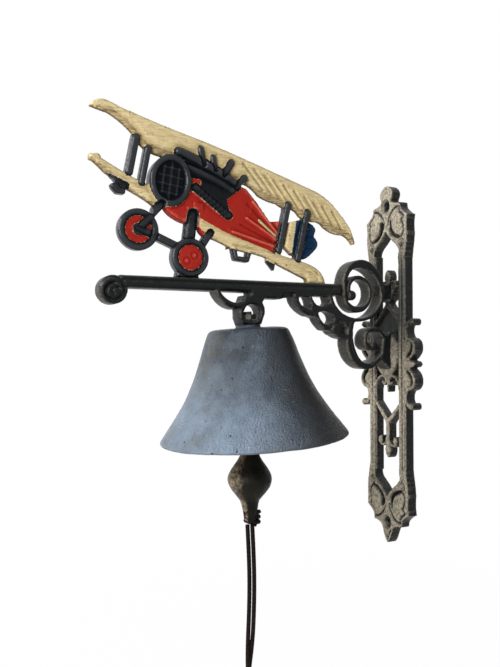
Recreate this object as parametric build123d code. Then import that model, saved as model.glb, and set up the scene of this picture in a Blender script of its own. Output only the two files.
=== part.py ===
from build123d import *
import os
from math import cos, hypot, radians, sin, tan

os.makedirs("parts", exist_ok=True)

# A cast-iron wall bell. Millimetres, +Z up. The wall is the plane y = 0 and lies towards +Y.
# The origin is midway between the two wall-screw holes, on the back of the plate.
# "Reach" is a distance out from the wall, so y = -reach.

# Wall plate
plate_thickness = 6.5
plate_half_height = 108.0
wall_screw_spacing = 191.0
wall_screw_hole_radius = 2.4
wall_screw_sink_radius = 4.4
rail_outer = 18.0
rail_inner = 11.3
rail_half_height = 66.0
rail_groove_width = 1.0
rail_groove_depth = 0.9
rail_bevel = 1.3
tracery_recess = 0.8
web_recess = 3.0
incision_depth = 1.2
hollow_depth = 3.2
bead_radius = 1.9
seat_boss_half_width = 11.5
seat_boss_half_height = 13.5
seat_boss_middle = 5.5

# Bracket arm
arm_half_width = 6.0
bar_top = 46.5
bar_bottom = 39.7
bar_start = 41.0
bar_end = 172.0
end_scroll_reach = 175.2
end_scroll_height = 38.6
end_scroll_radius = 7.4
loop_reach = 98.9
loop_floor_thickness = 3.0
loop_outer_radius = 7.7
loop_inner_radius = 4.9
spiral_carving_depth = 1.2
moulding_drop = 2.85
moulding_width = 0.9
moulding_depth = 0.6
arm_bevel = 1.2
inner_turn_recess = 0.8
leaf_recess = 0.7

# Biplane figure
wing_half_width = 2.9
wing_rib_width = 0.9
wing_rib_depth = 0.5
fuselage_half_width = 3.9
cowl_half_width = 5.5
pedestal_height = 5.5
grid_bar_width = 0.9

# Screws that hold the castings together
foot_screw_radius = 2.5
foot_screw_head_radius = 4.8
foot_screw_length = 16.0
upper_foot_height = 43.5
lower_foot_height = 8.0
figure_screw_radius = 1.5
figure_screw_head_radius = 2.9
figure_screw_grip = 6.0
front_pedestal_reach = 136.0
rear_pedestal_reach = 57.0
thread_gap = 0.05
clearance_gap = 0.2

# Bell and the eye bolt that clamps it under the loop
seat_height = 22.0
bell_tilt = 3.7
bell_mouth_radius = 52.0
bell_depth = 62.5
bell_wall = 4.0
bell_crown_wall = 4.1
bell_boss_radius = 7.0
bell_boss_height = 1.4
bolt_radius = 2.5
bolt_end = 7.3
thin_nut_height = 2.7
nut_across_flats = 8.0
nut_space_height = 4.4
crown_nut_height = 4.0
crown_washer_radius = 6.5
crown_washer_thickness = 1.0
eye_ring_radius = 4.5
eye_wire_radius = 1.5
eye_drop = 18.5

# Link and clapper
link_wire_radius = 1.25
link_gap = 0.3
link_centre_distance = 12.0
clapper_neck_radius = 3.0
clapper_shank_radius = 4.95
clapper_ball_radius = 12.25
clapper_shank_end = 35.0
clapper_ball_drop = 49.4
clapper_ball_bottom = 61.0
clapper_tail_radius = 4.75
clapper_tail_tip_radius = 3.2
clapper_tail_end = 73.8
tail_hole_radius = 2.0
tail_hole_drop = 69.0

# Lace that hangs from the clapper
lace_radius = 1.2
lace_knot_radius = 4.0


# Drawing planes: "side" holds (reach, height) and is the arm's middle plane, "front" holds (x, height).
side_plane = Plane(origin=(0, 0, 0), x_dir=(0, -1, 0), z_dir=(-1, 0, 0))
front_plane = Plane(origin=(0, 0, 0), x_dir=(1, 0, 0), z_dir=(0, -1, 0))


def slab(sketch, half_thickness):
    return extrude(side_plane * sketch, amount=half_thickness, both=True)


def relief(sketch, low, high):
    return extrude(front_plane.offset(low) * sketch, amount=high - low)


def cast_slab(sketch, half_thickness, edge):
    """A slab about the middle plane whose rims are bevelled, as a casting needs."""
    block = slab(sketch, half_thickness)
    return chamfer(block.faces().filter_by(Axis.X).edges(), edge)


def polygon(*points):
    return make_face(Polyline(*points, close=True))


def stroke(points, width):
    """A strip of even width along straight runs."""
    return trace(Polyline(*points), line_width=width)


def disc(x, y, radius):
    return Pos(x, y) * Circle(radius)


def smooth_width(widths, share):
    place = share * (len(widths) - 1)
    first = min(int(place), len(widths) - 2)
    part = place - first
    return widths[first] * (1 - part) + widths[first + 1] * part


def ribbon(points, widths, steps_per_point=1):
    """A strip of changing width along a smooth line, with round ends."""
    line = Spline(*points)
    steps = steps_per_point * (len(points) - 1)
    left = []
    right = []
    for step in range(steps + 1):
        share = step / steps
        place = line @ share
        along = line % share
        half = smooth_width(widths, share) / 2
        across = Vector(-along.Y, along.X, 0)
        left.append(place + across * half)
        right.append(place - across * half)
    start_cap = ThreePointArc(right[0], line @ 0 - (line % 0) * widths[0] / 2, left[0])
    end_cap = ThreePointArc(left[-1], line @ 1 + (line % 1) * widths[-1] / 2, right[-1])
    return make_face([Spline(*left), end_cap, Spline(*reversed(right)), start_cap])


def both_sides(sketch):
    return sketch + mirror(sketch, Plane.YZ)


def both_ends(sketch):
    return sketch + mirror(sketch, Plane.XZ)


def all_quarters(sketch):
    return both_ends(both_sides(sketch))


# Wall plate

def plate_end_outline(tip):
    outer = [
        Spline((0, 80), (2.6, 76.8), (6.5, 73.4), (10.4, 70.6), (rail_inner, rail_half_height - 4)),
        Line((rail_inner, rail_half_height - 4), (rail_outer, rail_half_height - 4)),
        Spline((rail_outer, rail_half_height - 4), (19.2, 69), (20.2, 76), (20.0, 83), (20.8, 88)),
        ThreePointArc((20.8, 88), (17.2, 90), (14.2, 92.6)),
        ThreePointArc((14.2, 92.6), (13.6, 94.2), (13.4, 96.2)),
        ThreePointArc((13.4, 96.2), (9.7, 96.5), (6.4, 97.6)),
        Spline((6.4, 97.6), *tip, (0, plate_half_height)),
        Line((0, plate_half_height), (0, 80)),
    ]
    return both_sides(make_face(outer))


def plate_petal():
    lobe = make_face([
        Spline((rail_outer - 1, 1), (23.6, 3.6), (27.2, 8.6), (26.4, 12.8), (22, 15.4),
               (rail_outer - 1, 13.6)),
        Line((rail_outer - 1, 13.6), (rail_outer - 1, 1)),
    ])
    hook = ribbon([(20, 14.6), (18.2, 19), (19.4, 23.2), (23.4, 24.5)], [3.0, 2.4, 2.4, 3.2])
    return lobe + hook + disc(23.6, 24.5, 2.1)


def plate_tracery():
    """Scrollwork between the rails, drawn for the lower half."""
    volute = ribbon([(12.2, -15), (9.6, -9.9), (6.2, -7.7), (2.6, -8.4), (1.3, -10.8), (3.0, -12.6),
                     (4.9, -11.2)], [2.4, 2.0, 1.9, 1.8, 1.7, 1.6, 1.5])
    pendant = polygon((0, -6), (2, -7), (0.9, -12), (0.7, -16.6), (0, -17.4))
    leg = polygon((12, -22.6), (12, -25.6), (1.6, -36.4), (0, -36.4), (0, -33.4))
    stem = polygon((0, -34), (1.7, -34), (1.7, -50), (0, -50))
    curl = ribbon([(0.8, -45.6), (2.4, -48.4), (5.6, -49.4), (8.4, -47.8), (8.2, -45.4), (6.2, -44.8)],
                  [2.0, 1.8, 1.7, 1.6, 1.6, 1.8])
    knob = make_face([
        Spline((1.0, -48), (2.4, -50.5), (2.2, -54.6), (0, -57.0)),
        Polyline((0, -57.0), (0, -48), (1.0, -48)),
    ])
    return both_sides(volute + pendant + leg + stem + curl + knob + disc(6.6, -46.8, 1.6))


def plate_leaf_carving():
    """Grooves of one leaf of the upper right end, which the others mirror."""
    edge_line = stroke([(12.4, 94.0), (13.0, 90.6), (17.2, 87.4), (15.2, 85.2)], 0.9)
    edge_line += ribbon([(15.2, 85.2), (16.8, 81.5), (16.6, 77.4), (14.4, 75.2)], [0.9, 0.9, 0.9, 0.8])
    spine = ribbon([(12.4, 94.0), (8.6, 93.2), (4.8, 90.4), (2.2, 86.4), (1.6, 82)],
                   [0.8, 0.9, 0.9, 0.8, 0.6])
    return edge_line + spine


def plate_leaf_hollow():
    return ribbon([(4.4, 85.2), (4.4, 81.8), (6.6, 78.2), (10, 76.2), (13.4, 75.2)],
                  [2.3, 2.6, 2.0, 1.4, 0.8])


def plate_rail(side):
    middle = side * (rail_outer + rail_inner) / 2
    face = Pos(middle, 0) * Rectangle(rail_outer - rail_inner, 2 * rail_half_height)
    rail = relief(face, 0, plate_thickness)
    long_edges = rail.faces().sort_by(Axis.Y)[0].edges().filter_by(Axis.Z)
    rail = chamfer(long_edges, rail_bevel)
    groove = Pos(middle, 0) * Rectangle(rail_groove_width, 2 * rail_half_height + 2)
    return rail - relief(groove, plate_thickness - rail_groove_depth, plate_thickness + 1)


def wall_plate():
    upper_end = plate_end_outline([(5.0, 98.6), (6.4, 101.8), (4.8, 105.8)])
    lower_end = mirror(plate_end_outline([(4.6, 100.6), (3.0, 104.2)]), Plane.XZ)
    side_points = both_sides(polygon((17, -3), (25.4, -1.6), (27, 0), (25.4, 1.6), (17, 3)))
    body = relief(upper_end + lower_end, 0, plate_thickness)
    body += plate_rail(-1) + plate_rail(1)
    body += relief(all_quarters(plate_petal()), 0, plate_thickness) + relief(side_points, 0, plate_thickness)
    lower_scrolls = plate_tracery()
    scrolls = lower_scrolls + mirror(lower_scrolls, Plane.XZ)
    body += relief(scrolls, 0, plate_thickness - tracery_recess)
    # Solid seats behind the two feet of the arm, and a web that closes the V above the middle
    body += relief(disc(0, upper_foot_height, 6.4), 0, plate_thickness)
    seat_boss = Pos(0, seat_boss_middle) * Ellipse(seat_boss_half_width, seat_boss_half_height)
    body += relief(seat_boss, 0, plate_thickness)
    upper_web = polygon((-12, 15), (12, 15), (12, 24), (1, 35), (-1, 35), (-12, 24))
    body += relief(upper_web, 0, plate_thickness - web_recess)
    # Beads stand on the leaf ends and on the hooks of the petals
    for x in (-1, 1):
        for height in (-1, 1):
            body += Pos(x * 14.8, -plate_thickness + 0.6, height * 72) * Sphere(bead_radius)
            body += Pos(x * 23.6, -plate_thickness + 0.6, height * 24.5) * Sphere(bead_radius)
    # Carving of the leaf ends and the petals
    petal_hollow = ribbon([(19.6, 4.4), (22.6, 6.6), (24.0, 9.6), (23.0, 12.0)], [0.8, 1.8, 1.8, 0.8])
    hollows = all_quarters(plate_leaf_hollow() + petal_hollow)
    body -= relief(hollows, plate_thickness - hollow_depth, plate_thickness + 1)
    body -= relief(all_quarters(plate_leaf_carving()), plate_thickness - incision_depth, plate_thickness + 1)
    tip_vein = both_sides(ribbon([(3.6, -99.4), (1.6, -102.6), (0.2, -105.4)], [0.7, 0.9, 0.9]))
    body -= relief(tip_vein, plate_thickness - incision_depth, plate_thickness + 1)
    # Wall-screw holes, sunk for the heads
    for height in (-wall_screw_spacing / 2, wall_screw_spacing / 2):
        body -= relief(disc(0, height, wall_screw_hole_radius), -1, plate_thickness + 1)
        sink_depth = wall_screw_sink_radius - wall_screw_hole_radius
        body -= Pos(0, -plate_thickness + sink_depth / 2, height) * Rot(90, 0, 0) * Cone(
            wall_screw_hole_radius, wall_screw_sink_radius, sink_depth)
    # Screws reach the arm from behind
    for height in (upper_foot_height, lower_foot_height):
        body -= relief(disc(0, height, foot_screw_radius + clearance_gap), -1, plate_thickness + 1)
        body -= Pos(0, 0, height) * foot_screw_head()
    return body


def foot_screw_head():
    depth = foot_screw_head_radius - foot_screw_radius
    return Pos(0, -depth / 2, 0) * Rot(90, 0, 0) * Cone(foot_screw_head_radius, foot_screw_radius, depth)


def foot_screw():
    shank = Pos(0, -foot_screw_length / 2, 0) * Rot(90, 0, 0) * Cylinder(foot_screw_radius, foot_screw_length)
    slot = Pos(0, -0.5, 0) * Box(8, 1.0, 1.2)
    return foot_screw_head() + shank - slot


# Bracket arm

def arm_bar():
    return polygon((bar_start, bar_top), (bar_end, bar_top - 0.3), (bar_end, bar_bottom), (100, bar_bottom),
                   (99, 36.6), (80, 36.6), (79, bar_bottom), (bar_start, bar_bottom))


def arm_brace():
    line = [(119.4, 41), (116.2, 36), (111.6, 32.9), (106.4, 32.2), (102, 34.4), (98, 37.6), (93, 38.4)]
    return ribbon(line, [2.2, 2.8, 3.2, 3.4, 3.0, 2.8, 2.6])


def arm_loop():
    outer = disc(loop_reach - 0.4, 29.6, loop_outer_radius)
    sole = Pos(loop_reach, seat_height) * polygon((-5.4, -1), (5.4, -1), (7.1, 3.5), (7.1, 6), (-7.1, 6),
                                                  (-7.1, 3.5))
    neck = polygon((92.6, 34), (104.5, 34), (103, 38), (90, 38))
    return outer + sole + neck


def arm_loop_space():
    return disc(loop_reach - 0.4, 28.4, loop_inner_radius)


def arm_spiral_outer():
    """The strip from the bar, round the outside and down the wall side."""
    line = [(48.8, 40), (45, 32), (38, 27.2), (30, 25.8), (21.3, 27.7), (14.8, 34), (12.6, 43), (15.6, 52),
            (22.5, 57.9), (30, 58.9), (36, 55.2), (38.8, 48), (38.8, 41)]
    widths = [2.6, 2.4, 2.2, 2.0, 2.0, 2.2, 2.4, 3.4, 4.6, 5.0, 3.6, 2.8, 2.6]
    return ribbon(line, widths)


def arm_spiral_inner():
    """The strip's inner turn, which ends in a curled knob."""
    line = [(38.8, 44), (38.6, 40), (36.2, 34.8), (31.6, 32.2), (26, 32.6), (21.8, 37), (20.8, 43.6),
            (24, 49.3), (29.5, 51.0), (34, 48.8), (35.9, 44.4), (34.8, 40.4)]
    widths = [2.6, 2.6, 3.0, 3.6, 3.0, 2.4, 2.2, 2.2, 2.2, 2.4, 2.6, 3.0]
    return ribbon(line, widths) + disc(33.7, 40.2, 2.9)


def arm_lower_scroll():
    line = [(33.4, 25.4), (35.2, 19), (35.4, 12), (32.4, 4), (24, -1.7), (14.6, 3.4), (10.9, 12),
            (13.8, 18.4), (18.5, 20.6), (23.4, 18.6), (24.9, 14), (22.8, 9.8), (19.2, 9.4)]
    widths = [3.0, 3.6, 5.2, 5.4, 4.2, 3.0, 2.4, 2.2, 2.2, 2.2, 2.2, 2.6, 3.0]
    return ribbon(line, widths) + disc(19.0, 10.8, 2.4)


def arm_leaf():
    outline = make_face([
        Line((73, 41), (72.7, 37.5)),
        Spline((72.7, 37.5), (70.5, 33.2), (67.6, 30.4), (62.4, 27.6)),
        ThreePointArc((62.4, 27.6), (59.8, 27.3), (57.4, 26.4)),
        Spline((57.4, 26.4), (55.5, 23.2), (51.8, 19.6)),
        ThreePointArc((51.8, 19.6), (49.3, 19.3), (47.2, 18.6)),
        Spline((47.2, 18.6), (43.9, 16.0), (39, 14.6)),
        Line((39, 14.6), (34, 13)),
        Polyline((34, 13), (33, 25.6), (44.4, 31.6), (47.6, 41), (73, 41)),
    ])
    front_hole = make_face([
        Spline((69.0, 38.4), (68.2, 34.8), (65.4, 32.4), (61.6, 31.2)),
        Spline((61.6, 31.2), (61.4, 34), (62.8, 38.4)),
        Line((62.8, 38.4), (69.0, 38.4)),
    ])
    middle_hole = make_face([
        Spline((60.6, 39), (58.6, 35.2), (54.4, 33.2), (50.8, 34.2), (49.4, 39)),
        Line((49.4, 39), (60.6, 39)),
    ])
    lower_hole = make_face([
        Spline((56.4, 29.4), (54.4, 25.2), (51.6, 22.8), (47.8, 23.6)),
        Spline((47.8, 23.6), (46.4, 26.6), (48.6, 29.8), (52.6, 30.6), (56.4, 29.4)),
    ])
    small_hole = ribbon([(41.6, 24.6), (39.9, 21.8), (38.8, 18.6)], [1.8, 2.6, 1.6])
    return outline - front_hole - middle_hole - lower_hole - small_hole


def arm_feet():
    front = plate_thickness
    upper = make_face([
        Line((front, 36.5), (front, 50.5)),
        ThreePointArc((front, 50.5), (10.4, 47.6), (14, 49.6)),
        Line((14, 49.6), (14, 38)),
        ThreePointArc((14, 38), (10, 39.4), (front, 36.5)),
    ])
    lower = make_face([
        Line((front, -4), (front, 19.5)),
        ThreePointArc((front, 19.5), (9.4, 17.4), (12.5, 17.6)),
        Line((12.5, 17.6), (14, 2)),
        ThreePointArc((14, 2), (10.6, -0.6), (front, -4)),
    ])
    return upper + lower


def bracket_arm():
    half = arm_half_width
    body = cast_slab(arm_bar(), half, arm_bevel)
    loop = arm_loop() - arm_loop_space()
    for strip in (arm_brace(), arm_spiral_outer(), arm_lower_scroll(), arm_feet(), loop):
        body += slab(strip, half)
    body += slab(arm_spiral_inner(), half - inner_turn_recess)
    body += slab(arm_leaf(), half - leaf_recess)
    body += cast_slab(disc(44.8, 20.1, 3.2), half + 0.6, arm_bevel)
    body += cast_slab(disc(end_scroll_reach, end_scroll_height, end_scroll_radius), half + 0.3, arm_bevel)
    # Space for the nut and seat for the bell, both square to the bell's leaning axis
    nut_space = Box(40, nut_across_flats + 1.0, nut_space_height)
    body -= bell_axis * Pos(0, 0, loop_floor_thickness + nut_space_height / 2) * nut_space
    body -= bell_axis * Pos(0, 0, -4) * Box(40, 18, 8)
    body -= bell_axis * Pos(0, 0, loop_floor_thickness / 2) * Cylinder(bolt_radius + clearance_gap, 8)
    # Spiral carved into both faces of the end scroll
    carving = ribbon([(181.4, 41), (178.6, 44.2), (173.5, 44.4), (169.6, 40.4), (170.6, 35.2), (175.2, 33.0),
                      (179.2, 36.0), (178.6, 40.2), (175.2, 41.6), (172.6, 39.2)],
                     [0.8, 1.2, 1.2, 1.2, 1.2, 1.2, 1.2, 1.0, 1.0, 0.8])
    line = Pos((bar_start + bar_end) / 2, bar_top - moulding_drop) * Rectangle(
        bar_end - bar_start - 12, moulding_width)
    for face in (-1, 1):
        shift = Pos(face * arm_half_width, 0, 0)
        body -= shift * slab(carving, spiral_carving_depth)
        body -= shift * slab(line, moulding_depth)
    # Tapped holes for the screws from the plate
    for height in (upper_foot_height, lower_foot_height):
        hole = Rot(90, 0, 0) * Cylinder(foot_screw_radius + thread_gap, 2 * foot_screw_length + 2)
        body -= Pos(0, 0, height) * hole
    # Holes for the screws up into the figure
    for reach in (front_pedestal_reach, rear_pedestal_reach):
        body -= Pos(0, -reach, bar_top) * Cylinder(figure_screw_radius + clearance_gap, 30)
        body -= Pos(0, -reach, bar_bottom) * figure_screw_head()
    return body


def figure_screw_head():
    depth = figure_screw_head_radius - figure_screw_radius
    return Pos(0, 0, depth / 2) * Cone(figure_screw_head_radius, figure_screw_radius, depth)


def figure_screw():
    length = bar_top - bar_bottom + figure_screw_grip
    slot = Pos(0, 0, 0.3) * Box(0.8, 8, 0.8)
    return figure_screw_head() + Pos(0, 0, length / 2) * Cylinder(figure_screw_radius, length) - slot


# Biplane figure

def upper_wing():
    return make_face([
        Spline((188, 131), (185.5, 133.8), (182, 135), (178.5, 134.6), (167.5, 131)),
        Spline((167.5, 131), (148, 125.4), (127.5, 120.4), (97.5, 112), (68, 103), (57.5, 99.8)),
        Spline((57.5, 99.8), (48, 94.6), (40, 87), (33.4, 78.8), (30.2, 71.2)),
        Line((30.2, 71.2), (32, 70.4)),
        ThreePointArc((32, 70.4), (35, 74), (38.6, 75.9)),
        ThreePointArc((38.6, 75.9), (45.5, 76.6), (51.4, 79.4)),
        ThreePointArc((51.4, 79.4), (54, 81.6), (56.2, 82.4)),
        ThreePointArc((56.2, 82.4), (62.5, 82.6), (68, 84.7)),
        ThreePointArc((68, 84.7), (70, 87), (72.8, 88.2)),
        ThreePointArc((72.8, 88.2), (77.5, 88.4), (82.2, 90.6)),
        ThreePointArc((82.2, 90.6), (89, 92), (94, 94.1)),
        ThreePointArc((94, 94.1), (98.5, 98), (103.4, 100)),
        Line((103.4, 100), (146, 109.6)),
        ThreePointArc((146, 109.6), (155, 110.6), (161.5, 114.1)),
        Spline((161.5, 114.1), (165, 118.8), (169.2, 122.9), (178.5, 128.8)),
        Line((178.5, 128.8), (188, 131)),
    ])


def lower_wing_left():
    return make_face([
        Spline((182, 105), (185.5, 107), (187.9, 104.7), (186.7, 103.5), (175, 94.1), (163.2, 88.2),
               (153.8, 82.6)),
        Polyline((153.8, 82.6), (140, 84), (140, 92), (156.7, 93.5)),
        Spline((156.7, 93.5), (163.2, 95.9), (171, 99.4), (182, 105)),
    ])


def lower_wing_right():
    return make_face([
        Line((129, 78.2), (116, 72.4)),
        Spline((116, 72.4), (98, 66.6), (81, 61.8), (67.2, 58.8), (59.6, 56.5), (53.7, 52.4),
               (51.4, bar_top + 1)),
        Polyline((51.4, bar_top + 1), (51.4, bar_top), (63.4, bar_top), (63.8, 48.8), (81, 55.9)),
        Spline((81, 55.9), (98.5, 61.8), (109, 63.5), (122, 68.2), (128, 70), (129.8, 74.1)),
        Line((129.8, 74.1), (129, 78.2)),
    ])


def wing_ribs():
    """Shallow grooves between the ribs of the upper wing, evenly spread from the front tip to the rear."""
    ribs = []
    count = 10
    for number in range(count):
        share = number / (count - 1)
        top = Vector(103.5 - 57 * share, 111 - 22 * share)
        length = 18.5 - 6.5 * share
        angle = radians(48 + 8 * share)
        foot = top + Vector(-length * cos(angle), -length * sin(angle))
        ribs.append(bar_between((top.X, top.Y), (foot.X, foot.Y), wing_rib_width))
    return ribs


def fuselage():
    return make_face([
        Spline((134.4, 99.4), (145, 92), (149, 83.5), (143.2, 77.6), (137.2, 75.5)),
        Polyline((137.2, 75.5), (110, 66), (85, 62.9)),
        Spline((85, 62.9), (83.8, 69.4), (82.6, 74.1), (80.3, 80.6)),
        Polyline((80.3, 80.6), (87.3, 79.8), (95, 89.4), (102, 97), (112, 99), (134.4, 99.4)),
    ])


def fuselage_stringers():
    """Three ridges that run together towards the tail."""
    return [bar_between((98.5, 90), (82.4, 72.4), 1.5), bar_between((102.5, 80.5), (80.8, 68), 1.5),
            bar_between((111, 72.4), (81.5, 64.9), 1.6)]


def bar_between(start, end, width):
    """A straight strip with square ends between two points."""
    run = hypot(end[0] - start[0], end[1] - start[1])
    across = ((start[1] - end[1]) / run * width / 2, (end[0] - start[0]) / run * width / 2)
    return polygon((start[0] + across[0], start[1] + across[1]), (end[0] + across[0], end[1] + across[1]),
                   (end[0] - across[0], end[1] - across[1]), (start[0] - across[0], start[1] - across[1]))


def engine():
    """Two rows of pipes above the cowl's shoulder, a bent pipe and a ribbed exhaust below."""
    base = polygon((139.7, 99), (132, 97), (128, 90), (118, 83), (113.6, 81), (113.8, 89), (109, 94),
                   (107.5, 99), (113.4, 104), (124.2, 109), (137, 111))
    block = slab(base, 4.2)
    pipes = [([(141.2, 112.8), (134, 110.6), (122.5, 105.8), (110, 99.8)], 4.4, 5.6),
             ([(135.4, 104.6), (127.4, 102.0), (118, 98.6), (111.2, 94.8)], 3.8, 5.2),
             ([(130.6, 92.4), (124, 87.8), (118, 83.8), (113.4, 81.6)], 5.0, 5.0)]
    for line, width, half in pipes:
        block += slab(ribbon(line, [width, width, width, width * 0.8]), half)
    return block


def cowl():
    tilted = Pos(145.7, 96.8) * Rot(0, 0, 7)
    ring = slab(tilted * Ellipse(11.2, 13.7), cowl_half_width)
    face = slab(tilted * Ellipse(8.2, 10.5), 2)
    for side in (-1, 1):
        ring -= Pos(side * (cowl_half_width + 1), 0, 0) * face
    grid = Sketch()
    for offset in (-4, 0, 4):
        grid += tilted * Pos(offset, 0) * Rectangle(grid_bar_width, 21.6)
    for offset in (-6.6, -2.2, 2.2, 6.6):
        grid += tilted * Pos(0, offset) * Rectangle(16.6, grid_bar_width)
    grid = grid & (tilted * Ellipse(8.6, 10.9))
    return ring + slab(grid, cowl_half_width - 0.4)


def wheel(reach, height, tyre_radius, hub_radius, tyre_half):
    """A tyre with rounded edges, a sunk ring inside it and a hub that stands a little proud."""
    tyre = cast_slab(disc(reach, height, tyre_radius), tyre_half, tyre_half * 0.35)
    hub = cast_slab(disc(reach, height, hub_radius), tyre_half + 0.4, 0.8)
    sunk_ring = disc(reach, height, hub_radius + 0.9) - disc(reach, height, hub_radius)
    for side in (-1, 1):
        tyre -= Pos(side * tyre_half, 0, 0) * slab(sunk_ring, 0.8)
    return tyre + hub


def biplane_figure():
    body = slab(fuselage(), fuselage_half_width)
    for ridge in fuselage_stringers():
        body += slab(ridge, fuselage_half_width + 0.7)
    hatch = polygon((133.4, 86.8), (127.4, 86.4), (127.0, 82.4), (133.0, 82.6))
    body += slab(hatch, fuselage_half_width + 0.5)
    wing = slab(upper_wing(), wing_half_width)
    for side in (-1, 1):
        for rib in wing_ribs():
            wing -= Pos(side * wing_half_width, 0, 0) * slab(rib, wing_rib_depth)
    body += wing
    body += slab(lower_wing_left(), 3.0)
    body += slab(lower_wing_right(), 3.0)
    body += engine()
    body += cowl()
    struts = [((163.8, 119.5), (167.9, 98), 4.2), ((157.3, 114.5), (161.4, 93), 3.5),
              ((75, 92.4), (82, 62), 3.5), ((62.6, 89), (69.7, 58), 4.0)]
    for start, end, width in struts:
        body += slab(bar_between(start, end, width), 3.4)
    stubs = [((129.1, 116.8), (127, 106), 3), ((122, 113.5), (120, 104), 3),
             ((110.9, 111.2), (118.3, 100), 3.2), ((102, 103.5), (110.1, 95.5), 3.2)]
    for start, end, width in stubs:
        body += slab(bar_between(start, end, width), 4.0)
    # Tail
    body += slab(polygon((75, 80.6), (67.9, 82.4), (71.4, 71.8), (72.5, 62), (78, 66.5)), 3.6)
    rudder = make_face([
        Line((74, 62.6), (69, 81.2)),
        Spline((69, 81.2), (61, 81.2), (57.4, 77.1), (58.4, 74.1), (56.2, 70.6), (58.8, 64.7), (65.2, 60)),
        Line((65.2, 60), (74, 62.6)),
    ])
    body += slab(rudder, 2.8)
    # Wheels and legs
    body += wheel(134.4, 57.1, 10.3, 6.8, 4.1)
    body += wheel(162.6, 70.2, 10.8, 4.6, 3.4)
    for offset in (-2.9, 2.9):
        body += slab(disc(134.4 + offset, 57.9, 1.1), 5.1)
    front_pedestal = polygon((-6.5, 0), (6.5, 0), (5, pedestal_height), (-5, pedestal_height))
    body += slab(Pos(front_pedestal_reach, bar_top) * front_pedestal, 4.2)
    rear_pedestal = polygon((-5.6, 0), (6.4, 0), (6.8, pedestal_height), (-3, pedestal_height))
    body += slab(Pos(rear_pedestal_reach, bar_top) * rear_pedestal, 3.8)
    legs = [((158, 69.4), (142, 62.9), 4), ((133.2, 80), (135, 66), 6.5), ((123.2, 71), (128, 63.5), 4),
            ((150.8, 84), (161.6, 72), 4.5)]
    for start, end, width in legs:
        body += slab(bar_between(start, end, width), 3.2)
    body += slab(polygon((177, 88), (169.4, 87.4), (168.8, 94), (176.4, 97)), 3.2)
    # Tail skid and small fin under the right wing
    body += slab(ribbon([(110.8, 65.4), (110.6, 60.2), (107.4, 56.4), (102.6, 57.2), (100.6, 64)],
                        [3, 3, 3.4, 3.2, 3]), 2.6)
    body += slab(polygon((89, 59.5), (88.8, 57.1), (84.2, 52.2), (83.6, 56), (83.4, 58)), 2.4)
    # Tapped holes for the two screws
    tapped_hole = Cylinder(figure_screw_radius + thread_gap, 2 * figure_screw_grip + 1)
    for reach in (front_pedestal_reach, rear_pedestal_reach):
        body -= Pos(0, -reach, bar_top) * tapped_hole
    return body


# Bell, bolt and nuts, drawn downwards from the seat along the bell's own axis

bell_axis = Pos(0, -loop_reach, seat_height) * Rot(bell_tilt, 0, 0)


def bell():
    outer = Spline((22.6, -3.7), (25.3, -11), (28.1, -19.3), (32.2, -29.8), (36.9, -39.2), (42, -47.5),
                   (47.6, -55.2), (bell_mouth_radius, -bell_depth + 1.0))
    inner_lip = bell_mouth_radius - bell_wall * 0.9
    inner = Spline((inner_lip, -bell_depth + 0.6), (43.9, -56.4), (38.4, -48.8), (33.2, -40.6), (28.4, -31.2),
                   (24.2, -20.6), (21.4, -12), (18.9, -8.2))
    crown_inside = -bell_boss_height - bell_crown_wall
    profile = [
        Line((0, 0), (bell_boss_radius, 0)),
        Line((bell_boss_radius, 0), (bell_boss_radius, -bell_boss_height)),
        Spline((bell_boss_radius, -bell_boss_height), (15, -1.6), (20.4, -2.2), (22.6, -3.7)),
        outer,
        ThreePointArc((bell_mouth_radius, -bell_depth + 1.0), (bell_mouth_radius - 1.4, -bell_depth - 0.3),
                      (inner_lip, -bell_depth + 0.6)),
        inner,
        ThreePointArc((18.9, -8.2), (17.4, -6.4), (14.9, crown_inside)),
        Line((14.9, crown_inside), (0, crown_inside)),
        Line((0, crown_inside), (0, 0)),
    ]
    shell = revolve(Plane.XZ * make_face(profile), axis=Axis.Z)
    shell -= Cylinder(bolt_radius + clearance_gap, 30)
    return bell_axis * shell


def hex_nut(height, top):
    nut = extrude(RegularPolygon(nut_across_flats / 2, 6, major_radius=False), amount=height)
    nut -= Cylinder(bolt_radius + thread_gap, 4 * height)
    return bell_axis * Pos(0, 0, top - height) * nut


def crown_washer():
    top = -bell_boss_height - bell_crown_wall
    ring = Cylinder(crown_washer_radius, crown_washer_thickness) - Cylinder(bolt_radius + clearance_gap, 10)
    return bell_axis * Pos(0, 0, top - crown_washer_thickness / 2) * ring


def eye_bolt():
    length = bolt_end + eye_drop - eye_ring_radius
    shank = Pos(0, 0, bolt_end - length / 2) * Cylinder(bolt_radius, length)
    ring = Pos(0, 0, -eye_drop) * Rot(0, 90, 0) * Torus(eye_ring_radius, eye_wire_radius)
    eye_space = Pos(0, 0, -eye_drop) * Rot(0, 90, 0) * Cylinder(eye_ring_radius, 20)
    return bell_axis * (shank - eye_space + ring)


# Link and clapper hang straight down from the eye

eye_centre = bell_axis * Pos(0, 0, -eye_drop)
hang_reach = -eye_centre.position.Y
bolt_wire_height = eye_centre.position.Z - eye_ring_radius
clapper_wire_height = bolt_wire_height - link_centre_distance
link_bend_radius = eye_wire_radius + link_gap + link_wire_radius
link_hinge_height = bolt_wire_height + link_bend_radius


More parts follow.
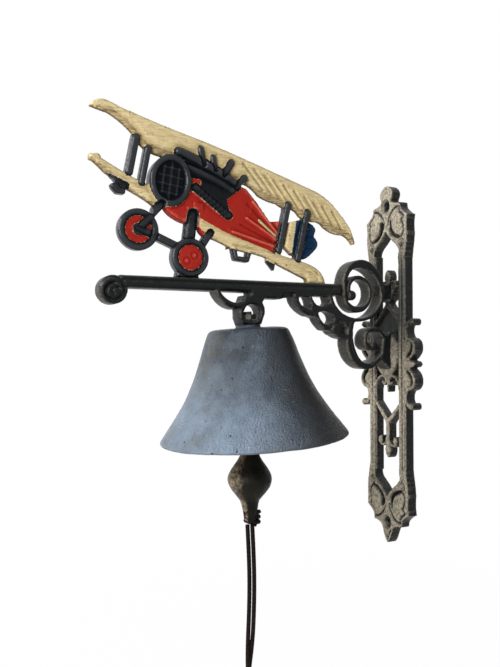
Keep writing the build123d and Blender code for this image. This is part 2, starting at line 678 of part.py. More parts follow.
def clapper_link():
    upper = bolt_wire_height
    lower = clapper_wire_height
    half = link_bend_radius
    start = Plane(origin=(-half, 0, (upper + lower) / 2), z_dir=(0, 0, 1))
    path = Wire([
        Edge.make_line((-half, 0, (upper + lower) / 2), (-half, 0, upper)),
        Edge.make_three_point_arc((-half, 0, upper), (0, 0, upper + half), (half, 0, upper)),
        Edge.make_line((half, 0, upper), (half, 0, (upper + lower) / 2)),
    ])
    upper_half = sweep(start * Circle(link_wire_radius), path=path)
    lower_half = mirror(upper_half, Plane(origin=(0, 0, (upper + lower) / 2), z_dir=(0, 0, 1)))
    return Pos(0, -hang_reach, 0) * (upper_half + lower_half)


def clapper():
    """Drawn downwards from the middle of the wire that the link carries."""
    ring = Pos(0, 0, -eye_ring_radius) * Rot(0, 90, 0) * Torus(eye_ring_radius, eye_wire_radius)
    neck_top = -2 * eye_ring_radius + 0.6
    profile = [
        Line((0, neck_top), (clapper_neck_radius, neck_top)),
        Line((clapper_neck_radius, neck_top), (clapper_shank_radius, -clapper_shank_end)),
        Spline((clapper_shank_radius, -clapper_shank_end),
               (clapper_ball_radius - 1.6, -clapper_ball_drop + 4.2),
               (clapper_ball_radius, -clapper_ball_drop),
               (clapper_ball_radius - 2.2, -clapper_ball_drop - 6),
               (clapper_tail_radius + 0.8, -clapper_ball_bottom)),
        Polyline((clapper_tail_radius + 0.8, -clapper_ball_bottom),
                 (clapper_tail_radius, -clapper_ball_bottom - 2.2),
                 (clapper_tail_tip_radius, -clapper_tail_end + 1.2)),
        ThreePointArc((clapper_tail_tip_radius, -clapper_tail_end + 1.2),
                      (clapper_tail_tip_radius - 0.6, -clapper_tail_end + 0.3),
                      (clapper_tail_tip_radius - 1.6, -clapper_tail_end)),
        Line((clapper_tail_tip_radius - 1.6, -clapper_tail_end), (0, -clapper_tail_end)),
        Line((0, -clapper_tail_end), (0, neck_top)),
    ]
    body = revolve(Plane.XZ * make_face(profile), axis=Axis.Z)
    body += ring
    body -= Pos(0, 0, -tail_hole_drop) * Rot(90, 0, 0) * Cylinder(tail_hole_radius, 20)
    return Pos(0, -hang_reach, clapper_wire_height) * body


# Lace

lace_top = clapper_wire_height - clapper_tail_end - 1.0
lace_bottom = lace_top - 100.0


def lace_hitch(tail):
    lump = Pos(0, -hang_reach + 2.4, lace_top + 5.4) * scale(Sphere(1), (3.0, 4.2, 4.2))
    under = Pos(0, -hang_reach, lace_top + 0.6) * scale(Sphere(1), (2.6, 3.6, 2.6))
    return lump + under - tail


def lace_strand(side):
    # The two strands lie side by side and change places once, about a third of the way up
    offsets = [(0.0, 0.0, 0), (0.9, 0, 16), (1.3, 4, 32), (1.0, -2, 48), (0.3, 6, 62), (-0.7, 62, 76),
               (-1.2, 120, 88), (-1.5, 168, 102)]
    points = []
    for drift, turn, drop in offsets:
        across = side * (lace_radius + 0.12)
        x = across * cos(radians(65 + turn))
        y = -hang_reach + drift + across * sin(radians(65 + turn))
        points.append((x, y, lace_top - drop))
    radii = []
    for before, here, after in zip(points, points[1:], points[2:]):
        first = Vector(here) - Vector(before)
        second = Vector(after) - Vector(here)
        half_turn = radians(first.get_angle(second)) / 2
        radii.append(0.45 * min(first.length, second.length) / tan(half_turn))
    path = FilletPolyline(*points, radius=radii)
    start = Plane(origin=path @ 0, z_dir=path % 0)
    return sweep(start * Circle(lace_radius), path=path)


def lace_end_knot():
    return Pos(0, -hang_reach - 1.5, lace_bottom - 4.6) * scale(Sphere(1), (3.4, 3.8, 4.4))


pieces = {
    "wall_plate": wall_plate(),
    "bracket_arm": bracket_arm(),
    "arm_screw_upper": Pos(0, 0, upper_foot_height) * foot_screw(),
    "arm_screw_lower": Pos(0, 0, lower_foot_height) * foot_screw(),
    "biplane_figure": biplane_figure(),
    "figure_screw_front": Pos(0, -front_pedestal_reach, bar_bottom) * figure_screw(),
    "figure_screw_rear": Pos(0, -rear_pedestal_reach, bar_bottom) * figure_screw(),
    "eye_bolt": eye_bolt(),
    "loop_nut": hex_nut(thin_nut_height, loop_floor_thickness + thin_nut_height),
    "bell": bell(),
    "crown_washer": crown_washer(),
    "crown_nut": hex_nut(crown_nut_height, -bell_boss_height - bell_crown_wall - crown_washer_thickness),
    "clapper_link": clapper_link(),
    "clapper": clapper(),
    "lace_strand_left": lace_strand(-1),
    "lace_strand_right": lace_strand(1),
    "lace_end_knot": lace_end_knot(),
}
pieces["lace_hitch"] = lace_hitch(pieces["clapper"])

for name, piece in pieces.items():
    export_step(piece, os.path.join("parts", name + ".step"))
    print(name, "solids", len(piece.solids()), "volume", round(piece.volume))
print("hinge heights", round(link_hinge_height, 3), round(clapper_wire_height, 3))
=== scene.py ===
import math
import bpy
import bmesh
import numpy as np
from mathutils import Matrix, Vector, noise
from mathutils.bvhtree import BVHTree


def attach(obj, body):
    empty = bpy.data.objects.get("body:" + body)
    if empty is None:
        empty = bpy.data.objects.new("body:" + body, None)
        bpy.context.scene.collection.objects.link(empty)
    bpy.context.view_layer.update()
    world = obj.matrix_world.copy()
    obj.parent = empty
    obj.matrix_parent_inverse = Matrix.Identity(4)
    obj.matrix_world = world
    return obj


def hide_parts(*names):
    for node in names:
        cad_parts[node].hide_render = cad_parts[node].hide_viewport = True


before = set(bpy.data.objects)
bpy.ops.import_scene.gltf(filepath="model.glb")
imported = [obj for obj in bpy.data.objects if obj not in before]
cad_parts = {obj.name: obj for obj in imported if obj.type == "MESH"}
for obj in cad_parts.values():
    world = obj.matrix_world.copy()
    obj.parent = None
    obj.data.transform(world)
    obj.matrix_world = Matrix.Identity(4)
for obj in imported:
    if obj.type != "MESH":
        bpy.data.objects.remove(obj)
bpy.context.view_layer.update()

mm = 0.001
coarse = 1.0    # grid step factor for trial runs
rayStart = 30    # rays into a casting start this far out, mm


# Camera, turned and tilted as the photograph was taken

camera = {
    "place": (0.35057, -0.26108, 0.00819),
    "turn": 65.0,        # degrees from looking straight at the wall
    "tilt": 1.35,        # degrees upwards
    "lens": 37.78,
    "nearest": 0.01,
}


def addObject(name, data):
    obj = bpy.data.objects.new(name, data)
    bpy.context.scene.collection.objects.link(obj)
    return obj


def addCamera():
    data = bpy.data.cameras.new("photoCamera")
    data.lens = camera["lens"]
    data.clip_start = camera["nearest"]
    obj = addObject("photoCamera", data)
    obj.location = camera["place"]
    obj.rotation_euler = (math.radians(90 + camera["tilt"]), 0, math.radians(camera["turn"]))
    bpy.context.scene.camera = obj


# Small helpers for materials

def addGroup(name, inputs, outputs):
    tree = bpy.data.node_groups.new(name, "ShaderNodeTree")
    for label, kind, value in inputs:
        socket = tree.interface.new_socket(name=label, in_out="INPUT", socket_type="NodeSocket" + kind)
        socket.default_value = value
    for label, kind in outputs:
        tree.interface.new_socket(name=label, in_out="OUTPUT", socket_type="NodeSocket" + kind)
    return tree, tree.nodes.new("NodeGroupInput"), tree.nodes.new("NodeGroupOutput")


class Painter:
    # Short calls for the nodes of one tree

    def __init__(self, tree):
        self.nodes = tree.nodes
        self.links = tree.links

    def feed(self, value, socket):
        if isinstance(value, bpy.types.NodeSocket):
            self.links.new(value, socket)
        elif value is not None:
            socket.default_value = value

    def coords(self):
        return self.nodes.new("ShaderNodeTexCoord").outputs["Object"]

    def attribute(self, name):
        node = self.nodes.new("ShaderNodeAttribute")
        node.attribute_name = name
        return node.outputs["Fac"]

    def noise(self, scale, detail=3.0, roughness=0.55, vector=None):
        node = self.nodes.new("ShaderNodeTexNoise")
        self.feed(vector, node.inputs["Vector"])
        self.feed(scale, node.inputs["Scale"])
        node.inputs["Detail"].default_value = detail
        node.inputs["Roughness"].default_value = roughness
        return node.outputs["Fac"]

    def cells(self, scale, vector=None):
        node = self.nodes.new("ShaderNodeTexVoronoi")
        self.feed(vector, node.inputs["Vector"])
        self.feed(scale, node.inputs["Scale"])
        return node.outputs["Distance"]

    def stretch(self, value, low, high, toLow=0.0, toHigh=1.0):
        node = self.nodes.new("ShaderNodeMapRange")
        self.feed(value, node.inputs["Value"])
        for socket, number in (("From Min", low), ("From Max", high), ("To Min", toLow), ("To Max", toHigh)):
            self.feed(number, node.inputs[socket])
        return node.outputs["Result"]

    def math(self, operation, first, second=None, clamp=False):
        node = self.nodes.new("ShaderNodeMath")
        node.operation = operation
        node.use_clamp = clamp
        self.feed(first, node.inputs[0])
        self.feed(second, node.inputs[1])
        return node.outputs[0]

    def mix(self, share, first, second):
        node = self.nodes.new("ShaderNodeMix")
        node.data_type = "RGBA"
        self.feed(share, node.inputs["Factor"])
        self.feed(first, node.inputs["A"])
        self.feed(second, node.inputs["B"])
        return node.outputs["Result"]

    def times(self, first, second, clamp=False):
        return self.math("MULTIPLY", first, second, clamp)

    def cover(self, base, colour, mask, share):
        # Lay a colour over the base where the mask is
        return self.mix(self.times(mask, share), base, colour)

    def axis(self, vector, letter):
        split = self.nodes.new("ShaderNodeSeparateXYZ")
        self.links.new(vector, split.inputs[0])
        return split.outputs[letter]

    def normal(self, letter):
        return self.axis(self.nodes.new("ShaderNodeNewGeometry").outputs["Normal"], letter)

    def mapped(self, vector, rotation, scale):
        node = self.nodes.new("ShaderNodeMapping")
        node.inputs["Rotation"].default_value = rotation
        node.inputs["Scale"].default_value = scale
        self.links.new(vector, node.inputs["Vector"])
        return node.outputs["Vector"]

    def backdropRays(self):
        # 1 for the rays that see the white background: camera, transmission and glossy rays
        rays = self.nodes.new("ShaderNodeLightPath").outputs
        clear = self.math("MAXIMUM", rays["Is Camera Ray"], rays["Is Transmission Ray"])
        return self.math("MAXIMUM", clear, rays["Is Glossy Ray"])

    def skin(self, grit, wave, holes):
        return self.group(sandCast, **{"Grit Scale": grit, "Wave Scale": wave, "Holes": holes})

    def wear(self, raised, start, width, breakup, scale):
        return self.group(edgeWear, Raised=raised, Start=start, Width=width, Breakup=breakup, Scale=scale)["Mask"]

    def zone(self, colour, waver=0.35):
        return self.group(paintZone, Distance=self.attribute(colour + "Paint"), Waver=waver)["Mask"]

    def group(self, tree, **values):
        node = self.nodes.new("ShaderNodeGroup")
        node.node_tree = tree
        for label, value in values.items():
            self.feed(value, node.inputs[label])
        return node.outputs

    def bump(self, height, strength, distance):
        node = self.nodes.new("ShaderNodeBump")
        node.inputs["Strength"].default_value = strength
        node.inputs["Distance"].default_value = distance
        self.feed(height, node.inputs["Height"])
        return node.outputs["Normal"]


def newMaterial(name):
    material = bpy.data.materials.new(name)
    material.use_nodes = True
    return material, Painter(material.node_tree), material.node_tree.nodes["Principled BSDF"]


# Shared effects

def makeSandCast():
    # Lumpy sand-cast skin: broad waves, grit and a few blow holes, as one height.
    tree, given, result = addGroup(
        "sandCast", [("Grit Scale", "Float", 1400.0), ("Wave Scale", "Float", 260.0), ("Holes", "Float", 0.4)],
        [("Height", "Float"), ("Hollows", "Float"), ("Patches", "Float")])
    paint = Painter(tree)
    place = paint.coords()
    wave = paint.noise(given.outputs["Wave Scale"], 3.0, 0.6, place)
    grit = paint.noise(given.outputs["Grit Scale"], 2.0, 0.6, place)
    hole = paint.stretch(paint.cells(paint.times(given.outputs["Wave Scale"], 0.9), place), 0.05, 0.17, 1.0, 0.0)
    rare = paint.stretch(paint.noise(170.0, 1.0, 0.5, place), 0.5, 0.62)
    hole = paint.times(paint.times(hole, rare), given.outputs["Holes"])
    height = paint.math("ADD", paint.times(wave, 0.6), paint.times(grit, 0.4))
    height = paint.math("SUBTRACT", height, hole)
    tree.links.new(height, result.inputs["Height"])
    tree.links.new(hole, result.inputs["Hollows"])
    patches = paint.stretch(paint.noise(75.0, 4.0, 0.6, place), 0.36, 0.66)
    tree.links.new(patches, result.inputs["Patches"])
    return tree


def makeEdgeWear():
    # Where handling rubs a casting: raised places, broken up by noise.
    tree, given, result = addGroup(
        "edgeWear", [("Raised", "Float", 0.0), ("Start", "Float", 0.15), ("Width", "Float", 0.3),
                     ("Breakup", "Float", 0.5),
                     ("Scale", "Float", 700.0)], [("Mask", "Float")])
    paint = Painter(tree)
    place = paint.coords()
    patch = paint.stretch(paint.noise(given.outputs["Scale"], 4.0, 0.65, place), 0.3, 0.7, -0.5, 0.5)
    level = paint.math("ADD", given.outputs["Raised"], paint.times(patch, given.outputs["Breakup"]))
    top = paint.math("ADD", given.outputs["Start"], given.outputs["Width"])
    tree.links.new(paint.stretch(level, given.outputs["Start"], top), result.inputs["Mask"])
    return tree


def makeDust():
    # Pale dust that settles on what faces up, and in small hollows.
    tree, given, result = addGroup("settledDust", [("Amount", "Float", 0.3), ("Hollows", "Float", 0.0)],
                                   [("Mask", "Float")])
    paint = Painter(tree)
    up = paint.stretch(paint.normal("Z"), 0.25, 0.95)
    grain = paint.stretch(paint.noise(420.0, 4.0, 0.7, paint.coords()), 0.35, 0.7)
    level = paint.times(paint.math("ADD", up, given.outputs["Hollows"], True), grain)
    tree.links.new(paint.times(level, given.outputs["Amount"], True), result.inputs["Mask"])
    return tree


def makeZone():
    # A painted zone with a slightly wavering brush edge, from its distance in millimetres.
    tree, given, result = addGroup("paintZone", [("Distance", "Float", 0.0), ("Waver", "Float", 0.35)],
                                   [("Mask", "Float")])
    paint = Painter(tree)
    wobble = paint.stretch(paint.noise(900.0, 2.0, 0.5, paint.coords()), 0.3, 0.7, -0.5, 0.5)
    level = paint.math("ADD", given.outputs["Distance"], paint.times(wobble, given.outputs["Waver"]))
    tree.links.new(paint.stretch(level, -0.12, 0.12), result.inputs["Mask"])
    return tree


sandCast = makeSandCast()
edgeWear = makeEdgeWear()
settledDust = makeDust()
paintZone = makeZone()
print("shared effects ready")


# Flat castings: the CAD node gives outline and thickness on a grid, the carving is added to the heights

class Relief:
    # Heights of a flat casting over a grid, in millimetres.
    # For the arm and the figure u is reach from the wall and the height is x on both sides.
    # For the plate u is x and the height is the distance from the wall.

    def __init__(self, node, plane, low, high, step, cutDepth, shift=0.0, thin=1.0):
        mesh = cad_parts[node].data
        mesh.calc_loop_triangles()
        corners = [tuple(corner) for corner in np.array([v.co for v in mesh.vertices]) * 1000]
        tree = BVHTree.FromPolygons(corners, [tuple(t.vertices) for t in mesh.loop_triangles])
        self.twoSided = plane == "side"
        self.shift, self.thin = shift, thin
        self.step = step
        us = np.arange(low[0] - 1.5 * step, high[0] + 2 * step, step)
        vs = np.arange(low[1] - 1.5 * step, high[1] + 2 * step, step)
        self.u, self.v = np.meshgrid(us, vs, indexing="ij")
        self.height = np.zeros_like(self.u)
        self.inside = np.zeros_like(self.u)
        for i in range(len(us)):
            for j in range(len(vs)):
                u, v = us[i], vs[j]
                if self.twoSided:
                    hit = tree.ray_cast(Vector((rayStart, -u, v)), Vector((-1, 0, 0)), rayStart - 0.5)
                    value = hit[0].x if hit[0] else 0.0
                    near = tree.find_nearest(Vector((cutDepth, -u, v)))[3]
                else:
                    hit = tree.ray_cast(Vector((u, -rayStart, v)), Vector((0, 1, 0)), rayStart - 0.4)
                    value = -hit[0].y if hit[0] else 0.0
                    near = tree.find_nearest(Vector((u, -cutDepth, v)))[3]
                solid = value > cutDepth
                self.height[i, j] = value if solid else 0.0
                self.inside[i, j] = near if solid else -near
        self.spreadHeights()

    def spreadHeights(self):
        # Carry the height of the rim a little outwards, so that blurring doesn't thin the rim.
        known = self.inside > 0
        height = self.height
        for _ in range(6):
            total = np.zeros_like(height)
            count = np.zeros_like(height)
            for shift in (-1, 1):
                for axis in (0, 1):
                    total += np.roll(height * known, shift, axis)
                    count += np.roll(known.astype(float), shift, axis)
            grow = (~known) & (count > 0)
            height[grow] = total[grow] / count[grow]
            known = known | grow

    def trim(self, shape):
        # Cut the outline back to the given distance field
        self.inside = np.minimum(self.inside, shape)

    def join(self, shape, top):
        # Add material inside the given distance field
        self.height = np.where((shape > 0) & (self.inside < 0.4), top, self.height)
        self.inside = np.maximum(self.inside, shape)

    def soften(self, radius):
        # A blur of about that radius in millimetres.
        rounds = max(1, int(round((radius / self.step) ** 2 * 2)))
        self.height = blur(self.height, rounds)

    def roundRim(self, radius):
        depth = np.clip(self.inside, 0, radius)
        drop = radius - np.sqrt(np.maximum(radius ** 2 - (radius - depth) ** 2, 0))
        self.height = self.height - np.minimum(drop, self.height * 0.93)

    def lineAway(self, points, smooth):
        return lineDistance(self.u, self.v, smoothLine(points) if smooth else points)

    def groove(self, points, width, depth, smooth=True):
        self.height = self.height - depth * hump(self.lineAway(points, smooth) / (width / 2))

    def ridge(self, points, width, rise, smooth=True):
        self.height = self.height + rise * hump(self.lineAway(points, smooth) / (width / 2))

    def halfRound(self, away, half, foot):
        # A half-round bead on the given foot, where the distance is less than half its width
        self.height = np.where(away < half, foot + np.sqrt(np.maximum(half ** 2 - away ** 2, 0)), self.height)

    def rod(self, points, width, top, smooth=True):
        # A round rod lying on the casting, its crown at the given height.
        away, half = self.lineAway(points, smooth), width / 2
        crown = top - half + np.sqrt(np.maximum(half ** 2 - away ** 2, 0))
        self.height = np.where(away < half, np.maximum(crown, self.height * (away > half * 0.82)), self.height)

    def dome(self, centre, radius, rise, power=1.0):
        away = np.hypot(self.u - centre[0], self.v - centre[1])
        self.height = self.height + rise * np.maximum(1 - (away / radius) ** 2, 0) ** power

    def ring(self, centre, radius, width, depth):
        away = np.abs(np.hypot(self.u - centre[0], self.v - centre[1]) - radius)
        self.height = self.height - depth * hump(away / (width / 2))

    def unevenness(self, scale, amount, seed):
        self.height = self.height + amount * noiseField(self.u, self.v, scale, seed)

    def raised(self, rounds=14):
        # How far each place stands above its surroundings: positive on ridges, negative in grooves.
        return self.height - blur(self.height, rounds)


def blur(field, rounds):
    for _ in range(rounds):
        padded = np.pad(field, 1, mode="edge")
        field = (padded[1:-1, 1:-1] * 4 + (padded[:-2, 1:-1] + padded[2:, 1:-1] + padded[1:-1, :-2] + padded[1:-1,
                                                                                                             2:]) * 2
                 + padded[:-2, :-2] + padded[2:, 2:] + padded[:-2, 2:] + padded[2:, :-2]) / 16
    return field


def hump(share):
    # Smooth bump: 1 in the middle, 0 from the edge outwards.
    return np.maximum(1 - share ** 2, 0) ** 1.5


def lineDistance(u, v, points):
    best = np.full(u.shape, 1e6)
    for (u0, v0), (u1, v1) in zip(points, points[1:]):
        du, dv = u1 - u0, v1 - v0
        share = np.clip(((u - u0) * du + (v - v0) * dv) / max(du * du + dv * dv, 1e-9), 0, 1)
        best = np.minimum(best, np.hypot(u - u0 - share * du, v - v0 - share * dv))
    return best


def insideDistance(u, v, points):
    # Distance to a closed outline, positive inside it.
    closed = list(points) + [points[0]]
    away = lineDistance(u, v, closed)
    inside = np.zeros(u.shape, dtype=bool)
    for (u0, v0), (u1, v1) in zip(closed, closed[1:]):
        crosses = (v0 > v) != (v1 > v)
        if v1 != v0:
            inside ^= crosses & (u < u0 + (v - v0) * (u1 - u0) / (v1 - v0))
    return np.where(inside, away, -away)


def ovalDistance(u, v, centre, halfWidth, halfHeight, turn=0.0):
    angle = math.radians(turn)
    du = (u - centre[0]) * math.cos(angle) + (v - centre[1]) * math.sin(angle)
    dv = -(u - centre[0]) * math.sin(angle) + (v - centre[1]) * math.cos(angle)
    return (1 - np.hypot(du / halfWidth, dv / halfHeight)) * min(halfWidth, halfHeight)


def smoothLine(points, perSpan=6):
    # A smooth curve through given points.
    if len(points) < 3:
        return points
    ends = [points[0]] + list(points) + [points[-1]]
    line = []
    for p0, p1, p2, p3 in zip(ends, ends[1:], ends[2:], ends[3:]):
        for k in range(perSpan):
            t = k / perSpan
            line.append(tuple(0.5 * (2 * b + (c - a) * t + (2 * a - 5 * b + 4 * c - d) * t * t
                                     + (3 * b - a - 3 * c + d) * t ** 3) for a, b, c, d in zip(p0, p1, p2, p3)))
    line.append(tuple(points[-1]))
    return line


def noiseField(u, v, scale, seed):
    # Smooth value noise between -1 and 1 over the grid.
    generator = np.random.default_rng(seed)
    field = np.zeros_like(u)
    weight = 1.0
    for octave in range(3):
        size = scale / 2 ** octave
        table = generator.uniform(-1, 1, (96, 96))
        a, b = (u - u.min()) / size, (v - v.min()) / size
        ia, ib = np.floor(a).astype(int), np.floor(b).astype(int)
        fa, fb = a - ia, b - ib
        fa, fb = fa * fa * (3 - 2 * fa), fb * fb * (3 - 2 * fb)
        ia, ib = ia % 95, ib % 95
        field += weight * ((table[ia, ib] * (1 - fa) + table[ia + 1, ib] * fa) * (1 - fb)
                           + (table[ia, ib + 1] * (1 - fa) + table[ia + 1, ib + 1] * fa) * fb)
        weight *= 0.5
    return field / 1.6


def finishMesh(mesh, change=None):
    # Turn all faces outwards, after a change to the mesh if one is given
    work = bmesh.new()
    work.from_mesh(mesh)
    if change:
        change(work)
    bmesh.ops.recalc_face_normals(work, faces=work.faces)
    work.to_mesh(mesh)
    work.free()


def ringFaces(rows, around):
    # Faces between neighbouring rings of points
    faces = []
    for row in range(rows - 1):
        for k in range(around):
            a, b = row * around + k, row * around + (k + 1) % around
            faces.append((a, b, b + around, a + around))
    return faces


def reliefMesh(relief, name, values, wallRows=3):
    # Turn the grid into a closed mesh whose rim follows the outline between grid points.
    inside, height = relief.inside, relief.height
    rows, columns = inside.shape
    solid = inside > 0
    fields = {"height": height, **values}
    places, data = [], {key: [] for key in fields}
    cornerId = np.full((rows, columns), -1)
    cornerId[solid] = np.arange(solid.sum())
    places.append(np.stack([relief.u[solid], relief.v[solid]], 1))
    for key, field in fields.items():
        data[key].append(field[solid])
    total = int(solid.sum())
    crossing = []
    for axis in (0, 1):
        first = [slice(0, -1), slice(None)] if axis == 0 else [slice(None), slice(0, -1)]
        second = [slice(1, None), slice(None)] if axis == 0 else [slice(None), slice(1, None)]
        a, b = inside[tuple(first)], inside[tuple(second)]
        cut = (a > 0) != (b > 0)
        share = np.clip(a[cut] / (a[cut] - b[cut] + 1e-12), 0.06, 0.94)
        ids = np.full(a.shape, -1)
        ids[cut] = total + np.arange(cut.sum())
        total += int(cut.sum())
        uu = relief.u[tuple(first)][cut] * (1 - share) + relief.u[tuple(second)][cut] * share
        vv = relief.v[tuple(first)][cut] * (1 - share) + relief.v[tuple(second)][cut] * share
        places.append(np.stack([uu, vv], 1))
        for key, field in fields.items():
            fa, fb = field[tuple(first)][cut], field[tuple(second)][cut]
            data[key].append(np.where(a[cut] > 0, fa, fb))
        crossing.append(ids)
    place = np.concatenate(places)
    for key in data:
        data[key] = np.concatenate(data[key])
    sheetFaces, rimEdges = [], []
    acrossId, alongId = crossing
    # Corners 0..3 go round the cell, edges 4..7 lie after each corner
    tables = {1: [(0, 4, 7)], 2: [(1, 5, 4)], 4: [(2, 6, 5)], 8: [(3, 7, 6)], 3: [(0, 1, 5, 7)], 6: [(1, 2, 6, 4)],
              12: [(2, 3, 7, 5)], 9: [(3, 0, 4, 6)], 5: [(0, 4, 7), (2, 6, 5)], 10: [(1, 5, 4), (3, 7, 6)],
              7: [(0, 1, 2, 6, 7)], 14: [(1, 2, 3, 7, 4)], 13: [(2, 3, 0, 4, 5)], 11: [(3, 0, 1, 5, 6)],
              15: [(0, 1, 2, 3)]}
    code = (solid[:-1, :-1] * 1 + solid[1:, :-1] * 2 + solid[1:, 1:] * 4 + solid[:-1, 1:] * 8)
    tokens = [cornerId[:-1, :-1], cornerId[1:, :-1], cornerId[1:, 1:], cornerId[:-1, 1:],
              acrossId[:, :-1], alongId[1:, :], acrossId[:, 1:], alongId[:-1, :]]
    for case, shapes in tables.items():
        where = code == case
        if not where.any():
            continue
        for shape in shapes:
            stack = np.stack([tokens[t][where] for t in shape], 1)
            sheetFaces.extend(map(tuple, stack.tolist()))
            for k in range(len(shape)):
                if shape[k] > 3 and shape[(k + 1) % len(shape)] > 3:
                    rimEdges.extend(zip(stack[:, k].tolist(), stack[:, (k + 1) % len(shape)].tolist()))
    count = len(place)
    rim = sorted({k for edge in rimEdges for k in edge})
    rimPlace = {k: n for n, k in enumerate(rim)}
    rimArray = np.array(rim)
    top = data["height"]
    bottom = -top if relief.twoSided else np.zeros_like(top)
    levels = [np.concatenate([top, bottom])]
    corners = [np.concatenate([place, place])]
    for row in range(wallRows):
        share = (row + 1) / (wallRows + 1)
        corners.append(place[rimArray])
        levels.append(top[rimArray] * (1 - share) + bottom[rimArray] * share)
    corners, levels = np.concatenate(corners), np.concatenate(levels)
    faces = [face for face in sheetFaces] + [tuple(k + count for k in reversed(face)) for face in sheetFaces]
    for a, b in rimEdges:
        chainA = [a] + [2 * count + row * len(rim) + rimPlace[a] for row in range(wallRows)] + [a + count]
        chainB = [b] + [2 * count + row * len(rim) + rimPlace[b] for row in range(wallRows)] + [b + count]
        for k in range(wallRows + 1):
            faces.append((chainA[k], chainA[k + 1], chainB[k + 1], chainB[k]))
    if relief.twoSided:
        points = np.stack([levels * relief.thin, -corners[:, 0] + relief.shift, corners[:, 1]], 1)
    else:
        points = np.stack([corners[:, 0], -levels, corners[:, 1]], 1)
    mesh = bpy.data.meshes.new(name)
    mesh.from_pydata((points * mm).tolist(), [], faces)
    finishMesh(mesh, lambda work: bmesh.ops.smooth_vert(
        work, verts=work.verts, factor=0.5, use_axis_x=True, use_axis_y=True, use_axis_z=True))
    for key, field in data.items():
        if key == "height":
            continue
        full = np.concatenate([field, field] + [field[rimArray]] * wallRows)
        attribute = mesh.attributes.new(key, "FLOAT", "POINT")
        attribute.data.foreach_set("value", full.astype(np.float32))
    wall = np.concatenate([np.zeros(2 * count), np.ones(wallRows * len(rim))])
    wall[rimArray] = 0.5
    wall[rimArray + count] = 0.5
    attribute = mesh.attributes.new("wall", "FLOAT", "POINT")
    attribute.data.foreach_set("value", wall.astype(np.float32))
    mesh.shade_smooth()
    return mesh


def addPiece(name, mesh, body, slot, material, *nodes):
    piece = addObject(name, mesh)
    mesh.materials.clear()
    mesh.materials.append(material)
    if nodes:
        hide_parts(*nodes)
    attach(piece, body)
    print(name, "triangles", sum(len(p.vertices) - 2 for p in mesh.polygons))
    return piece


# Black iron with a tan dry-brushed front: the plate and the arm

blackIron = {
    "colour": (0.0044, 0.0060, 0.0070, 1),
    "brown": (0.018, 0.015, 0.011, 1),
    "tan": (0.365, 0.325, 0.250, 1),
    "tanDeep": (0.120, 0.104, 0.078, 1),
    "dust": (0.20, 0.20, 0.195, 1),
    "gloss": 0.30,
    "dustAmount": 0.22,
    "specular": 0.14,
}


def makeCastingMaterial(name, tanFront, tanEdge, frontStart, brownShare):
    material, paint, shader = newMaterial(name)
    skin = paint.skin(1500.0, 330.0, 0.5)
    wall = paint.attribute("wall")
    facing = paint.stretch(paint.normal("Y"), -0.35, -0.95)
    brushed = paint.wear(paint.attribute("raised"), frontStart, 0.35, 0.55, 850.0)
    front = paint.times(paint.times(paint.times(brushed, facing), tanFront), paint.attribute("brushing"))
    rubbed = paint.wear(paint.attribute("edge"), 0.62, 0.4, 0.8, 620.0)
    # The walls of the casting stay dark, only their upper corners are rubbed
    edgeShare = paint.times(paint.times(rubbed, tanEdge), paint.stretch(wall, 0.3, 0.95, 1.0, 0.25))
    front = paint.times(front, paint.stretch(wall, 0.3, 0.9, 1.0, 0.15))
    brownArea = paint.times(skin["Patches"], paint.stretch(wall, 0.1, 0.9, brownShare, 0.1))
    brown = paint.mix(brownArea, blackIron["colour"], blackIron["brown"])
    worn = paint.mix(edgeShare, brown, blackIron["tan"])
    # The rubbed faces are mottled where sand left the iron coarse
    mottle = paint.stretch(paint.noise(640.0, 5.0, 0.8, paint.coords()), 0.40, 0.60)
    tan = paint.mix(mottle, blackIron["tanDeep"], blackIron["tan"])
    coated = paint.mix(front, worn, tan)
    dusty = paint.mix(paint.group(settledDust, Amount=blackIron["dustAmount"])["Mask"], coated, blackIron["dust"])
    paint.feed(dusty, shader.inputs["Base Color"])
    rough = paint.stretch(skin["Patches"], 0.0, 1.0, blackIron["gloss"], blackIron["gloss"] + 0.14)
    rough = paint.math("ADD", rough, paint.times(paint.math("ADD", front, edgeShare), 0.25), True)
    paint.feed(rough, shader.inputs["Roughness"])
    paint.feed(paint.bump(skin["Height"], 0.45, 0.00035), shader.inputs["Normal"])
    shader.inputs["Specular IOR Level"].default_value = blackIron["specular"]
    return material


# Wall plate

wallPlate = {
    "step": 0.52,
    "softness": 0.32,
    "rimRadius": 1.1,
    "unevenness": 0.16,
    "beadRing": 2.3,
    "shellRise": 1.3,
    "tones": {"tanFront": 0.95, "tanEdge": 0.30, "frontStart": 0.34, "brownShare": 0.4},
}


